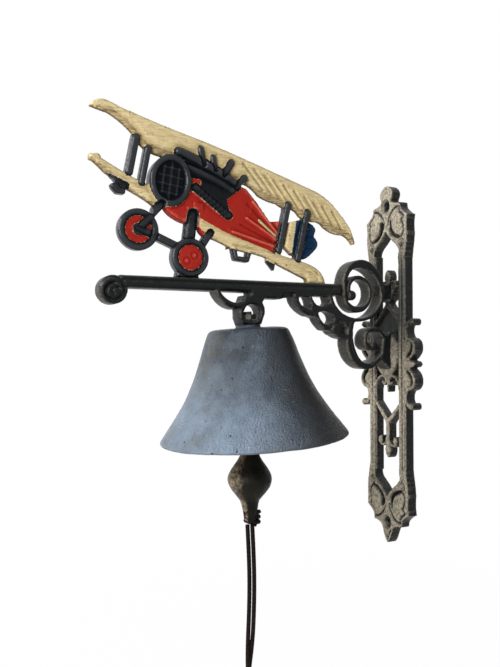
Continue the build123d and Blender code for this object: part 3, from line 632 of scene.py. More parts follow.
def buildWallPlate():
    plate = Relief("wall_plate", "front", (-27.4, -108), (27.4, 108), wallPlate["step"] * coarse, 1.8)
    plate.soften(wallPlate["softness"])
    plate.roundRim(wallPlate["rimRadius"])
    for side in (-1, 1):
        for end in (-1, 1):
            def at(points):
                return [(side * x, end * z) for x, z in points]
            # Raised leaf body inside its cut outline
            plate.dome((side * 11.4, end * 84.5), 6.4, 0.7)
            plate.groove(at([(12.4, 94.0), (13.0, 90.6), (17.2, 87.4), (15.2, 85.2)]), 1.3, 0.7, False)
            plate.groove(at([(15.2, 85.2), (16.8, 81.5), (16.6, 77.4), (14.4, 75.2)]), 1.3, 0.7)
            plate.groove(at([(12.4, 94.0), (8.6, 93.2), (4.8, 90.4), (2.2, 86.4), (1.6, 82)]), 1.3, 0.7)
            # Beaded rim along the window
            plate.ridge(at([(1.0, 80.4), (2.9, 78.0), (6.8, 74.6), (10.6, 71.8), (12.2, 66)]), 1.6, 0.6)
            plate.ring((side * 14.8, end * 72), wallPlate["beadRing"], 1.0, 0.9)
            # Petals and hooks beside the middle
            plate.ring((side * 23.6, end * 24.5), 2.6, 0.8, 0.5)
            plate.ridge(at([(20, 14.6), (18.2, 19), (19.4, 23.2)]), 1.3, 0.45)
            plate.groove(at([(19.6, 4.2), (22.6, 6.4), (24.2, 9.6), (23.0, 12.4), (20.4, 13.2)]), 1.2, 0.8)
            plate.ridge(at([(18.8, 2.4), (23.6, 4.9), (26.2, 9.2), (25.2, 12.6), (21.6, 14.3)]), 1.1, 0.5)
            # Double line down each rail
            plate.ridge(at([(12.6, 0), (12.6, 66)]), 1.1, 0.35, False)
            plate.ridge(at([(16.6, 0), (16.6, 66)]), 1.1, 0.35, False)
            plate.groove(at([(14.6, 2), (14.6, 69)]), 1.5, 0.5, False)
            # Curls at the foot of the stem, and the two ridges of the stem
            plate.ridge(at([(0.8, 45.6), (2.4, 48.4), (5.6, 49.4), (8.4, 47.8), (8.2, 45.4), (6.2, 44.8)]), 1.1, 0.55)
            plate.dome((side * 6.6, end * 46.8), 1.6, 0.5)
            plate.ridge(at([(1.1, 34), (1.1, 46)]), 0.9, 0.45, False)
            plate.ridge(at([(11.5, 24.3), (1.8, 34.8)]), 1.1, 0.5, False)
        # Volutes under the middle boss
        plate.ridge([(side * x, z) for x, z in ((12.2, -15), (9.6, -9.9), (6.2, -7.7), (2.6, -8.4), (1.3, -10.8),
                                                (3.0, -12.6), (4.9, -11.2))], 1.2, 0.8)
        plate.groove([(side * 3.6, -99.4), (side * 1.6, -102.6), (side * 0.2, -105.4)], 1.3, 0.6)
        plate.groove([(side * 4.4, 98.6), (side * 5.0, 102.2), (side * 3.2, 105.8), (0, 106.4)], 1.1, 0.7)
    # Shell boss with a scalloped lower edge
    away = np.hypot(plate.u / 11.3, (plate.v - 4.5) / 12.5)
    spokes = np.cos(np.arctan2(plate.u, plate.v - 9) * 11)
    shell = np.maximum(1 - away ** 2, 0) ** 0.5
    plate.height += wallPlate["shellRise"] * shell * (0.82 + 0.18 * spokes)
    for end in (-1, 1):
        plate.ridge([(4.9 * math.cos(a), end * 95.5 + 4.9 * math.sin(a)) for a in np.linspace(0, 2 * math.pi, 25)],
                    1.3, 0.55)
    plate.unevenness(3.0, wallPlate["unevenness"], 5)
    plate.unevenness(0.9, 0.06, 6)
    plate.height = np.maximum(plate.height, 0.6)
    level = np.clip(plate.raised(26) * 0.75 + 0.32, -1, 1)
    deep = np.clip((plate.height - 4.6) / 1.4, -0.6, 0.4)
    edge = np.exp(-np.maximum(plate.inside, 0) / 0.7)
    # The rails beside the arm were brushed less than the two leaf ends
    brushing = 0.12 + 0.88 * np.clip(np.abs(plate.v - 38) / 26 - 0.5, 0, 1)
    mesh = reliefMesh(plate, "wallPlate", {"raised": level + deep, "edge": edge, "brushing": brushing})
    material = makeCastingMaterial("brushedPlateIron", **wallPlate["tones"])
    return addPiece("wallPlate", mesh, "bracket", "black_casting", material, "wall_plate")


# Bracket arm

bracketArm = {
    "step": 0.46,
    "softness": 0.30,
    "rimRadius": 1.5,
    "unevenness": 0.14,
    "coilGroove": 1.3,
    "tones": {"tanFront": 0.34, "tanEdge": 0.20, "frontStart": -0.1, "brownShare": 0.22},
}


def buildBracketArm():
    arm = Relief("bracket_arm", "side", (6.5, -4.2), (182.7, 61.8), bracketArm["step"] * coarse, 3.5)
    arm.join(insideDistance(arm.u, arm.v, [(83.0, 42.6), (73.1, 42.8), (73.8, 38.2), (77.1, 37.4), (83.0, 36.8)]), 4.4)
    arm.soften(bracketArm["softness"])
    arm.roundRim(bracketArm["rimRadius"])
    # Moulding along the bar
    arm.groove([(170, 43.9), (45, 44.1)], 1.7, 0.75, False)
    arm.ridge([(172, 45.3), (44, 45.4)], 1.5, 0.35, False)
    arm.groove([(164, 41.0), (104, 41.0)], 1.1, 0.3, False)
    # Coil of the end scroll
    coil = [(169.3, 39.2), (171.5, 41.4), (174.7, 42.2), (177.9, 40.6), (179.1, 37.1), (177.4, 34.3), (173.8, 33.7),
            (171.5, 35.9), (172.1, 38.9), (174.5, 39.6), (176.0, 37.9), (174.9, 36.2)]
    arm.groove(coil, bracketArm["coilGroove"], 0.9)
    # Leaf: a rounded lobe between each pair of cuts, with a vein in each
    for vein in ([(72, 37.6), (68.4, 33.0), (62.6, 30.0), (59.6, 33.2)], [(61.8, 28.6), (57.6, 30.8), (55.4, 33.0)],
                 [(57.2, 26.8), (57.6, 29.8), (60.8, 36.8)], [(51.6, 20.4), (47.0, 21.4), (42.8, 24.6)],
                 [(46.4, 31.4), (50.4, 31.8), (56.0, 31.2)]):
        arm.groove(vein, 1.2, 0.6)
    for crest in ([(71.6, 38.6), (69.9, 34.6), (66.8, 31.4), (62.6, 29.0)], [(58.6, 28.0), (55.4, 24.6), (52.2, 21.2)],
                  [(48.0, 20.0), (43.4, 17.6), (38.2, 15.8)], [(62.0, 38.4), (60.6, 34.6), (61.2, 31.6)]):
        arm.ridge(crest, 2.2, 0.6)
    arm.dome((44.8, 20.1), 3.3, 1.2, 0.7)
    # Strips of the scrolls are hollowed a little between two raised rims
    outer = [(48.8, 40), (45, 32), (38, 27.2), (30, 25.8), (21.3, 27.7), (14.8, 34), (12.6, 43), (15.6, 52),
             (22.5, 57.9),
             (30, 58.9), (36, 55.2), (38.8, 48), (38.8, 41)]
    arm.groove(outer[6:12], 2.4, 0.5)
    lower = [(35.2, 19), (35.4, 12), (32.4, 4), (24, -1.7), (14.6, 3.4)]
    arm.groove(lower, 2.2, 0.5)
    arm.ridge([(119.0, 39.6), (116.2, 36), (111.6, 32.9), (106.4, 32.2), (102, 34.4), (98, 37.6), (93, 38.4)], 1.4,
              0.35)
    arm.dome((33.7, 40.2), 3.0, 0.9)
    arm.dome((19.0, 10.8), 2.6, 0.8)
    arm.unevenness(3.4, bracketArm["unevenness"], 11)
    arm.unevenness(1.0, 0.06, 12)
    arm.height = np.clip(arm.height, 0.8, 6.55)
    edge = np.exp(-np.maximum(arm.inside, 0) / 0.8)
    brushing = np.clip((70 - arm.u) / 30, 0.25, 1)
    mesh = reliefMesh(arm, "bracketArm", {"raised": np.clip(arm.raised(20), -1, 1), "edge": edge, "brushing": brushing})
    material = makeCastingMaterial("bracketIron", **bracketArm["tones"])
    return addPiece("bracketArm", mesh, "bracket", "black_casting", material, "bracket_arm")


# Painted aircraft figure

figure = {
    "step": 0.50,
    "shift": 0.85,       # towards the wall, mm
    "thin": 0.8,         # share of the node's thickness
    "softness": 0.30,
    "rimRadius": 1.5,
    "belowWingOuter": [(187.8, 104.7), (183.9, 101.6), (180.0, 98.1), (177.4, 96.3), (177.4, 91.3), (190.8, 96.7),
                       (190.8, 104.7)],
    "belowWingInner": [(169.5, 89.7), (164.4, 86.3), (160.0, 83.7), (155.5, 82.1), (155.5, 78.6), (169.5, 86.2)],
    "wingTop": [(188.0, 106.8), (184.6, 106.5), (180.7, 103.9), (176.1, 101.5), (171.2, 99.1), (166.1, 96.0),
                (159.3, 92.1), (155.6, 89.1), (155.6, 86.1), (159.3, 89.1), (166.1, 93.0), (171.2, 96.1),
                (176.1, 98.5), (180.7, 100.9), (184.6, 103.5), (188.0, 103.8)],
    "stepFoot": [(177.4, 92.2), (175.1, 93.1), (173.0, 93.3), (172.3, 91.4), (169.3, 90.4), (169.6, 87.6),
                 (174.1, 87.8), (176.6, 90.2)],
    "stepRoom": [(178.7, 97.3), (176.1, 95.1), (167.8, 88.9), (166.1, 85.9), (178.7, 84.8)],
    "loop": [(109.2, 64.5), (107.7, 58.3), (101.0, 57.7), (99.4, 63.0)],
    "cream": (0.62, 0.500, 0.275, 1),
    "creamDarkAndShade": (0.30, 0.225, 0.100, 1),
    "brown": (0.100, 0.058, 0.022, 1),
    "red": (0.300, 0.016, 0.010, 1),
    "redShade": (0.09, 0.006, 0.005, 1),
    "blue": (0.001, 0.015, 0.044, 1),
    "black": (0.0020, 0.0032, 0.0050, 1),
    "redHighlight": (0.85, 0.22, 0.12, 1),
    "blueShade": (0.002, 0.016, 0.04, 1),
    "blackHighlight": (0.10, 0.12, 0.15, 1),
    "chip": (0.030, 0.020, 0.014, 1),
}


class PaintZones:
    # Distance to the edge of each paint colour: later shapes cover earlier ones.

    def __init__(self, u, v, colours):
        self.u, self.v = u, v
        self.fields = {colour: np.full(u.shape, -9.0) for colour in colours}

    def add(self, colour, shape):
        for name, field in self.fields.items():
            if name == colour:
                np.maximum(field, shape, out=field)
            else:
                np.minimum(field, -shape, out=field)

    def area(self, colour, points):
        self.add(colour, insideDistance(self.u, self.v, points))

    def line(self, colour, points, width):
        self.add(colour, width / 2 - lineDistance(self.u, self.v, points))

    def oval(self, colour, centre, halfWidth, halfHeight, turn=0.0):
        self.add(colour, ovalDistance(self.u, self.v, centre, halfWidth, halfHeight, turn))


def wingRibs():
    ribs = []
    for number in range(17):
        share = number / 16
        top = (103.5 - 57 * share, 111 - 22 * share)
        length = 18.5 - 6.5 * share
        angle = math.radians(48 + 8 * share)
        ribs.append([top, (top[0] - length * math.cos(angle), top[1] - length * math.sin(angle))])
    return ribs


def buildFigure():
    plane = Relief("biplane_figure", "side", (29.8, 46.3), (188.4, 135.4), figure["step"] * coarse, 2.0,
                   figure["shift"], figure["thin"])
    u, v = plane.u, plane.v
    zones = PaintZones(u, v, ("red", "blue", "black", "brown"))

    def area(points):
        return insideDistance(u, v, points)

    def blackRods(rods, top, margin):
        for start, end, width in rods:
            plane.rod([start, end], width, top, False)
            zones.line("black", [start, end], width + margin)

    # The struts of the node are lowered here and drawn again further on as round rods
    for start, end in (((163.8, 119.5), (167.9, 98)), ((157.3, 114.5), (161.4, 93)), ((75, 92.4), (82, 62)),
                       ((62.6, 89), (69.7, 58))):
        near = lineDistance(u, v, [start, end]) < 3.2
        plane.height = np.where(near, np.minimum(plane.height, 2.95), plane.height)
    plane.trim(-area(figure["belowWingOuter"]))
    plane.trim(-area(figure["belowWingInner"]))
    plane.join(area(figure["wingTop"]), 3.0)
    # A small boot-shaped step hangs under the wing's tip
    away = area(figure["stepRoom"])
    plane.inside = np.where(away > 0, np.minimum(plane.inside, area(figure["stepFoot"])), plane.inside)
    plane.join(area(figure["stepFoot"]), 3.4)
    # The loop behind the near wheel is small and square
    loopRoom = 8.6 - np.hypot(u - 106.0, v - 57.0)
    underside = area([(129.4, 79), (116, 73), (98, 67), (81, 61.8), (81, 55.4), (98.5, 61.4), (109, 63.0), (122, 67.8)])
    plane.inside = np.where((loopRoom > 0) & (underside < 0), np.minimum(plane.inside, underside), plane.inside)
    plane.join(1.35 - lineDistance(u, v, figure["loop"]), 3.7)
    plane.soften(figure["softness"])
    plane.roundRim(figure["rimRadius"])
    # Upper wing: a lower facet along the front part, ribs and grain
    shadedFacet = [(188, 131), (178, 128.6), (169, 122.6), (161, 113.6), (155, 110.3), (146, 109.4), (104, 99.6), (95, 94),
             (70, 86), (52, 79), (36, 75), (31, 70.6), (30, 74), (37, 78.6), (52, 83), (70, 89.6), (95, 97.6),
             (104, 102.8),
             (146, 112.6), (158, 115.4), (166, 124), (177, 131.4)]
    plane.height -= 0.55 * hump(np.clip(-area(shadedFacet), 0, 3) / 3) * (area(shadedFacet) > -3)
    for start, end in wingRibs():
        plane.groove([start, end], 1.5, 0.34, False)
    plane.ridge([(186, 133.4), (178, 133.2), (167, 129.6), (147, 124.0), (127, 118.8), (97, 110.4), (68, 101.4),
                 (57, 98.0),
                 (47, 92.8), (39, 85.4), (33, 77.4)], 2.2, 0.4)
    # Lower wings: two facets that meet in a ridge
    plane.ridge([(186.5, 105.2), (175, 97.4), (163, 91.2), (152, 86.6), (144, 83.2)], 2.0, 0.5)
    plane.ridge([(128.6, 75.8), (116, 70.6), (98, 64.9), (81, 59.6), (68, 56.6), (60, 53.4), (54, 48)], 1.8, 0.6)
    leftShadedFacet = [(187.8, 104.4), (184, 101), (177, 95.6), (169.5, 89.2), (160, 83.4), (155, 81.6), (151, 82.4),
                 (153, 84.6),
                 (160, 87.0), (169.5, 92.6), (177, 98.4), (186.4, 104.8)]
    # Fuselage
    hull = [(134.4, 99.4), (145, 92), (149, 83.5), (143.2, 77.6), (137.2, 75.5), (110, 66), (84, 62), (82.6, 74.1),
            (80.3, 80.6), (87.3, 79.8), (95, 89.4), (102, 97), (112, 99)]
    redArea = [(134.4, 99.4), (146, 94), (151.6, 85.4), (151.6, 81.4), (147, 75.4), (139, 72.6), (110, 63.2),
               (84, 58)] + hull[7:]
    swell = np.clip(area(hull), 0, 9) / 9
    plane.height += 0.5 * np.sin(swell * math.pi / 2) * (plane.height > 3.3)
    for ridge in ([(98.5, 90), (82.4, 72.4)], [(102.5, 80.5), (80.8, 68)], [(111, 72.4), (81.5, 64.9)]):
        plane.ridge(ridge, 1.7, 0.55, False)
    for channel in ([(101.5, 88), (82.0, 70.2)], [(106.0, 76.6), (81.4, 66.4)], [(95.6, 91.0), (83.0, 76.0)]):
        plane.groove(channel, 2.4, 0.45, False)
    seam = smoothLine([(98.6, 93), (99.0, 88), (99.8, 84), (102.4, 79.4), (107.4, 75.2), (112.6, 73.2)], 8)
    plane.groove(seam, 1.6, 0.4, False)
    for n in range(0, len(seam), 2):
        plane.dome(seam[n], 0.75, 0.7)
    for centre in ((136.2, 83.2), (139.4, 85.6), (131.4, 79.6)):
        plane.ring(centre, 1.5, 0.8, 0.4)
        plane.dome(centre, 1.1, 0.3)
    plane.groove([(133.6, 86.8), (127.4, 86.4), (127.0, 82.4), (133.2, 82.6), (133.6, 86.8)], 0.9, 0.4, False)
    sliver = [(94.4, 79.8), (82.6, 70.6)]
    plane.ridge(sliver, 1.5, 0.6, False)
    plane.groove([(76.6, 78.4), (73.2, 70.6), (79.8, 69.6), (76.6, 78.4)], 0.8, 0.3, False)
    for fin in ([(60.6, 79.6), (68.6, 76.4)], [(58.2, 73.6), (68.8, 71.0)], [(59.6, 66.2), (69.6, 66.6)]):
        plane.groove(fin, 1.4, 0.45, False)
    zones.area("red", redArea)
    zones.area("red", [(85, 80.4), (79.4, 81.2), (80.4, 63), (86, 62.4)])
    cream = np.maximum(area([(129.4, 78.4), (116, 72.2), (98, 66.4), (81, 61.4), (67, 58.8), (52, 52),
                                             (50, 46), (64, 46), (64, 48.8), (81, 55.6), (98.5, 61.6), (109, 63.3),
                                             (122, 68), (129.8, 73.6)]), 0.8 - lineDistance(u, v, sliver))
    cream = np.maximum(cream, area([(79.2, 80.8), (79.6, 63), (72, 60), (67, 81), (68, 83)]))
    zones.add("bare", cream)
    zones.area("blue", [(73.6, 62.6), (70.4, 84), (60, 84), (55, 77), (55, 64), (64, 58.6)])
    # The lower facets of the wings get the brown zone as painted shade
    zones.area("brown", shadedFacet)
    zones.area("brown", leftShadedFacet)
    # Engine pipes and the exhaust with its ribs
    pipes = [([(141.2, 112.6), (134, 110.4), (122.5, 105.6), (110, 99.8)], 4.8, 5.8),
             ([(135.4, 104.6), (127.4, 102.0), (118, 98.4), (111.2, 94.8)], 4.4, 5.4),
             ([(131.8, 94.2), (124, 88.6), (118, 84.4), (113.2, 81.2)], 5.2, 5.2)]
    block = [(139.7, 99), (133.9, 99.2), (128.9, 98.9), (128.9, 94.1), (130.6, 90), (119, 82.4), (113.2, 80),
             (112, 83), (114, 89.4), (108.4, 94), (106, 99.6),
             (112.4, 105), (124.2, 110.4), (137, 113)]
    zones.area("black", block)
    for line, width, top in pipes:
        plane.rod(line, width, top)
        zones.line("black", smoothLine(line), width + 0.5)
    for share in np.linspace(0.12, 0.95, 8):
        x, y = 131.8 - 18.6 * share, 94.2 - 13.0 * share
        plane.dome((x + 0.8, y - 1.6), 1.1, 0.8)
        plane.groove([(x - 1.2, y + 2.2), (x + 1.0, y - 1.6)], 0.8, 0.5, False)
    stubs = [((128.8, 115.6), (127, 107.4), 3.6), ((121.6, 111.8), (120.4, 105), 3.4),
             ((110.9, 110.2), (115.4, 103.0), 4.0),
             ((103.0, 102.6), (108.0, 96.6), 4.0)]
    struts = [((164.2, 117.2), (167.6, 99.6), 4.6), ((157.6, 112.4), (160.9, 94.6), 4.0),
              ((75.5, 90.4), (81.4, 64), 3.9),
              ((63.1, 86.8), (69.3, 60), 4.3)]
    blackRods(stubs, 4.6, 0.3)
    blackRods(struts, 4.2, 0.3)
    # Cowl ring with the grille sunk inside it
    ringCentre, ringTurn = (145.7, 96.8), 7
    inner = ovalDistance(u, v, ringCentre, 8.4, 10.7, ringTurn)
    ring = np.abs(ovalDistance(u, v, ringCentre, 9.8, 12.2, ringTurn))
    plane.halfRound(ring, 1.75, 3.9)
    plane.height = np.where(inner > 0.1, np.minimum(plane.height, 4.25) - 0.25 * np.clip(inner, 0, 1), plane.height)
    angle = math.radians(ringTurn)
    for k in (-1, 0, 1):
        du, dv = 4 * k * math.cos(angle), 4 * k * math.sin(angle)
        reach = 10.0 - 2.2 * abs(k)
        plane.ridge([(ringCentre[0] + du - reach * math.sin(angle), ringCentre[1] + dv + reach * math.cos(angle)),
                     (ringCentre[0] + du + reach * math.sin(angle), ringCentre[1] + dv - reach * math.cos(angle))],
                    1.2, 0.65, False)
    for k in (-1.5, -0.5, 0.5, 1.5):
        du, dv = -4.4 * k * math.sin(angle), 4.4 * k * math.cos(angle)
        reach = 7.6 - 1.4 * abs(k)
        plane.ridge([(ringCentre[0] + du - reach * math.cos(angle), ringCentre[1] + dv - reach * math.sin(angle)),
                     (ringCentre[0] + du + reach * math.cos(angle), ringCentre[1] + dv + reach * math.sin(angle))],
                    1.1, 0.55, False)
    zones.oval("black", ringCentre, 11.5, 14.0, ringTurn)
    # Legs, then the wheels
    legs = [((158, 69.4), (142, 62.9), 4.4), ((133.2, 80), (135, 66), 6.6), ((123.2, 71), (128, 63.5), 4.2),
            ((150.4, 84.4), (161.6, 72), 4.8)]
    blackRods(legs, 4.0, 0.4)
    for centre, outer, tyre, top in (((134.4, 57.1), 10.3, 8.6, 4.4), ((162.6, 70.2), 10.8, 9.0, 3.7)):
        away = np.hypot(u - centre[0], v - centre[1])
        zones.add("black", outer + 0.4 - away)
        plane.halfRound(np.abs(away - tyre), 1.9, top - 1.9)
    near = np.hypot(u - 134.4, v - 57.1)
    plane.height = np.where(near < 6.7, 3.6 + 0.5 * np.sqrt(np.maximum(1 - (near / 6.9) ** 2, 0)), plane.height)
    for bead in ((136.4, 55.2), (132.2, 58.2)):
        plane.ring(bead, 1.9, 0.9, 0.6)
        plane.dome(bead, 1.2, 0.4)
    far = np.hypot(u - 162.6, v - 70.2)
    zones.add("red", 7.0 - far)
    plane.height = np.where(far < 7.1, 2.9, plane.height)
    plane.dome((162.6, 70.2), 3.6, 1.3, 0.5)
    plane.rod([(156.5, 76.8), (162.4, 70.6)], 4.4, 4.2, False)
    plane.rod([(157.6, 69.0), (163, 70.4)], 4.2, 4.0, False)
    zones.add("black", 3.3 - far)
    zones.line("black", [(155.5, 77.8), (162.4, 70.8)], 4.6)
    zones.line("black", [(156.6, 68.4), (163, 70.4)], 4.4)
    # Pedestal under the near wheel, skid, fin and step
    zones.area("black", [(128, 45), (144.5, 45), (143.4, 52), (126.5, 52)])
    zones.add("red", 6.7 - near)
    wing = area([(129.4, 79), (116, 73), (98, 67), (81, 61.8), (67, 59), (52, 52), (50, 46), (64, 46),
                                 (64, 48.6), (81, 55.4), (98.5, 61.4), (109, 63.0), (122, 67.8), (129.8, 73.6)])
    for outline in ([(113.4, 67.0), (113.4, 53.4), (98.6, 53.4), (98.6, 66.2), (102.4, 67.6)],
                    [(90.4, 59.6), (89.6, 51.0), (82.4, 51.0), (82.4, 57.2)],
                    [(178.6, 87), (168.0, 86.0), (167.4, 93.2), (171.2, 94.8), (178.4, 97.6)]):
        zones.add("black", np.minimum(area(outline), -wing))
    plane.unevenness(4.0, 0.14, 21)
    plane.unevenness(1.1, 0.07, 22)
    plane.height = np.clip(plane.height, 0.7, 6.3)
    values = {name + "Paint": np.clip(field, -2, 2) for name, field in zones.fields.items()}
    values["raised"] = np.clip(plane.raised(18), -1.5, 1.5)
    values["edge"] = np.exp(-np.maximum(plane.inside, 0) / 0.7)
    mesh = reliefMesh(plane, "aircraftFigure", values)
    return addPiece("aircraftFigure", mesh, "bracket", "painted_figure", makeFigurePaint(), "biplane_figure")


def makeFigurePaint():
    material, paint, shader = newMaterial("figurePaint")
    place = paint.coords()
    skin = paint.skin(1700.0, 420.0, 0.35)
    raised, edge, wall = paint.attribute("raised"), paint.attribute("edge"), paint.attribute("wall")
    # Brush grain runs across the wings
    brush = paint.noise(620.0, 5.0, 0.7, paint.mapped(place, (math.radians(52), 0, 0), (0.3, 0.25, 2.4)))
    grain = paint.stretch(brush, 0.42, 0.62)
    cream = paint.cover(figure["cream"], figure["creamDarkAndShade"], grain, 0.55)
    # Painted shade: the cream darkens in the hollows of the relief
    cream = paint.cover(cream, figure["creamDarkAndShade"], paint.stretch(raised, 0.02, -0.35), 0.75)
    # Painted shade: the lower facets of the wings turn brown, broken by the brush grain
    cream = paint.cover(cream, figure["brown"], paint.zone("brown", 1.2), paint.stretch(grain, 0, 1, 0.35, 0.8))
    specks = paint.stretch(paint.noise(520.0, 2.0, 0.6, place), 0.66, 0.72)
    cream = paint.cover(cream, figure["brown"], specks, 0.8)
    # Painted shade and painted highlight on the red: dark in the hollows, bright orange-red on raised places, broken up
    # by noise
    red = paint.cover(figure["red"], figure["redShade"], paint.stretch(raised, -0.05, -0.6), 0.8)
    red = paint.cover(red, figure["redHighlight"], paint.wear(raised, 0.28, 0.4, 0.5, 900.0), 0.35)
    # Painted shade: the blue darkens in the hollows
    blue = paint.mix(paint.stretch(raised, -0.05, -0.4), figure["blue"], figure["blueShade"])
    # Painted highlight: the black turns pale blue-grey on raised places
    black = paint.cover(figure["black"], figure["blackHighlight"], paint.stretch(raised, 0.15, 0.8), 0.12)
    redMask, blueMask, blackMask = [paint.zone(name) for name in ("red", "blue", "black")]
    colour = paint.mix(blueMask, paint.mix(redMask, cream, red), blue)
    notRed = paint.math("SUBTRACT", 1.0, redMask, True)
    # The side walls turn brown: thinner paint there, and painted shade
    colour = paint.cover(colour, figure["brown"], paint.times(wall, 0.62), notRed)
    colour = paint.mix(blackMask, colour, black)
    notBlack = paint.math("SUBTRACT", 1.0, blackMask, True)
    chips = paint.times(paint.wear(edge, 0.86, 0.12, 0.5, 420.0), notBlack)
    colour = paint.cover(colour, figure["chip"], chips, 0.55)
    paint.feed(colour, shader.inputs["Base Color"])
    rough = paint.stretch(blackMask, 0, 1, 0.50, 0.21)
    rough = paint.math("ADD", rough, paint.times(grain, 0.08), True)
    paint.feed(rough, shader.inputs["Roughness"])
    height = paint.math("ADD", paint.times(skin["Height"], 0.8), paint.times(brush, 0.5))
    paint.feed(paint.bump(height, 0.6, 0.0004), shader.inputs["Normal"])
    # Enamel shines on what stands up and is matt in the hollows
    paint.feed(paint.stretch(raised, -0.25, 0.55, 0.03, 0.30), shader.inputs["Specular IOR Level"])
    return material


# Bell: turned about its own leaning axis, with the unevenness of a sand casting

bell = {
    "seat": (0, -0.0989, 0.022),
    "tilt": 3.7,
    "around": 260,
    "outside": [(7.0, 0), (7.0, -1.0), (7.6, -1.5), (15, -1.62), (19.6, -2.1), (21.7, -3.0), (22.9, -4.8), (25.3, -11),
                (28.1, -19.3), (32.2, -29.8), (36.9, -39.2), (42, -47.5), (47.6, -55.2), (51.2, -60.2), (51.9, -61.6),
                (51.2, -62.6), (49.8, -62.7), (48.4, -61.9)],
    "inside": [(48.4, -61.9), (43.9, -56.4), (38.4, -48.8), (33.2, -40.6), (28.4, -31.2), (24.2, -20.6), (21.4, -12),
               (18.9, -8.2), (17.4, -6.4), (14.9, -5.55), (8, -5.5), (2.7, -5.5)],
    "wave": 0.16,
    "grit": 0.055,
    "colour": (0.062, 0.078, 0.100, 1),
    "dark": (0.022, 0.027, 0.034, 1),
    "warm": (0.105, 0.092, 0.058, 1),
    "paleAndSheen": (0.195, 0.255, 0.330, 1),
    "wallSideShade": (0.0075, 0.0080, 0.0085, 1),
    "hollow": (0.006, 0.006, 0.006, 1),
    "scratch": (0.42, 0.43, 0.45, 1),
    "metallic": 0.05,
    "specular": 0.22,
}


def evenLine(points, spacing):
    # Points at even distances along a smooth curve
    line = np.array(smoothLine(points, 10))
    lengths = np.concatenate([[0], np.cumsum(np.hypot(*np.diff(line, axis=0).T))])
    wanted = np.linspace(0, lengths[-1], max(2, int(lengths[-1] / spacing)))
    return np.stack([np.interp(wanted, lengths, line[:, 0]), np.interp(wanted, lengths, line[:, 1])], 1)


def turnedMesh(name, profile, around, roughen):
    # Revolve a profile of (radius, height) in mm; roughen gives the outward shift at each point
    angles = np.arange(around) * 2 * math.pi / around
    before = np.roll(profile, 1, 0)
    after = np.roll(profile, -1, 0)
    before[0], after[-1] = profile[0], profile[-1]
    along = after - before
    along /= np.maximum(np.hypot(along[:, 0], along[:, 1]), 1e-9)[:, None]
    normal = np.stack([-along[:, 1], along[:, 0]], 1)
    points = []
    for (radius, height), (outR, outZ) in zip(profile, normal):
        for angle in angles:
            shift = roughen(radius * math.cos(angle), radius * math.sin(angle), height)
            r, z = radius + outR * shift, height + outZ * shift
            points.append((r * math.cos(angle) * mm, r * math.sin(angle) * mm, z * mm))
    mesh = bpy.data.meshes.new(name)
    mesh.from_pydata(points, [], ringFaces(len(profile), around))
    return mesh


def makeBellIron():
    material, paint, shader = newMaterial("bellIron")
    place = paint.coords()
    skin = paint.skin(1250.0, 300.0, 1.0)
    tone = paint.stretch(paint.noise(42.0, 4.0, 0.6, place), 0.36, 0.64)
    base = paint.mix(tone, bell["colour"], bell["dark"])
    cloud = paint.stretch(paint.noise(95.0, 5.0, 0.72, place), 0.48, 0.72)
    base = paint.cover(base, bell["paleAndSheen"], cloud, 0.35)
    # Rust and brown rub low on the bell and at the rim
    height, outward = paint.axis(place, "Z"), paint.normal("Y")
    rub = paint.stretch(paint.noise(150.0, 5.0, 0.7, place), 0.42, 0.66)
    base = paint.cover(base, bell["warm"], paint.times(paint.stretch(height, -0.030, -0.042), rub), 0.55)
    base = paint.cover(base, bell["warm"], paint.times(paint.stretch(outward, -0.45, -0.95), rub), 0.6)
    # Painted light: a pale painted sheen low on the flare on the side away from the wall, and painted shade on the side
    # next to the wall
    paintedSheen = paint.times(paint.stretch(outward, 0.22, -0.45), paint.stretch(height, 0.004, -0.026))
    paintedSheen = paint.times(paintedSheen, paint.stretch(paint.noise(60.0, 4.0, 0.6, place), 0.34, 0.6, 0.45, 1.0))
    base = paint.cover(base, bell["paleAndSheen"], paintedSheen, 0.72)
    base = paint.cover(base, bell["wallSideShade"], paint.stretch(outward, -0.26, 0.42), 0.92)
    base = paint.mix(skin["Hollows"], base, bell["hollow"])
    # A few short bright scratches
    across = paint.mapped(place, (0.3, 0.5, 0.2), (1.0, 1.0, 9.0))
    base = paint.cover(base, bell["scratch"], paint.stretch(paint.noise(120.0, 1.0, 0.4, across), 0.765, 0.785), 0.55)
    paint.feed(base, shader.inputs["Base Color"])
    shader.inputs["Metallic"].default_value = bell["metallic"]
    shader.inputs["Specular IOR Level"].default_value = bell["specular"]
    paint.feed(paint.stretch(cloud, 0, 1, 0.32, 0.40), shader.inputs["Roughness"])
    pebble = paint.math("ADD", skin["Height"], paint.noise(980.0, 3.0, 0.6, place))
    paint.feed(paint.bump(pebble, 0.95, 0.0014), shader.inputs["Normal"])
    return material


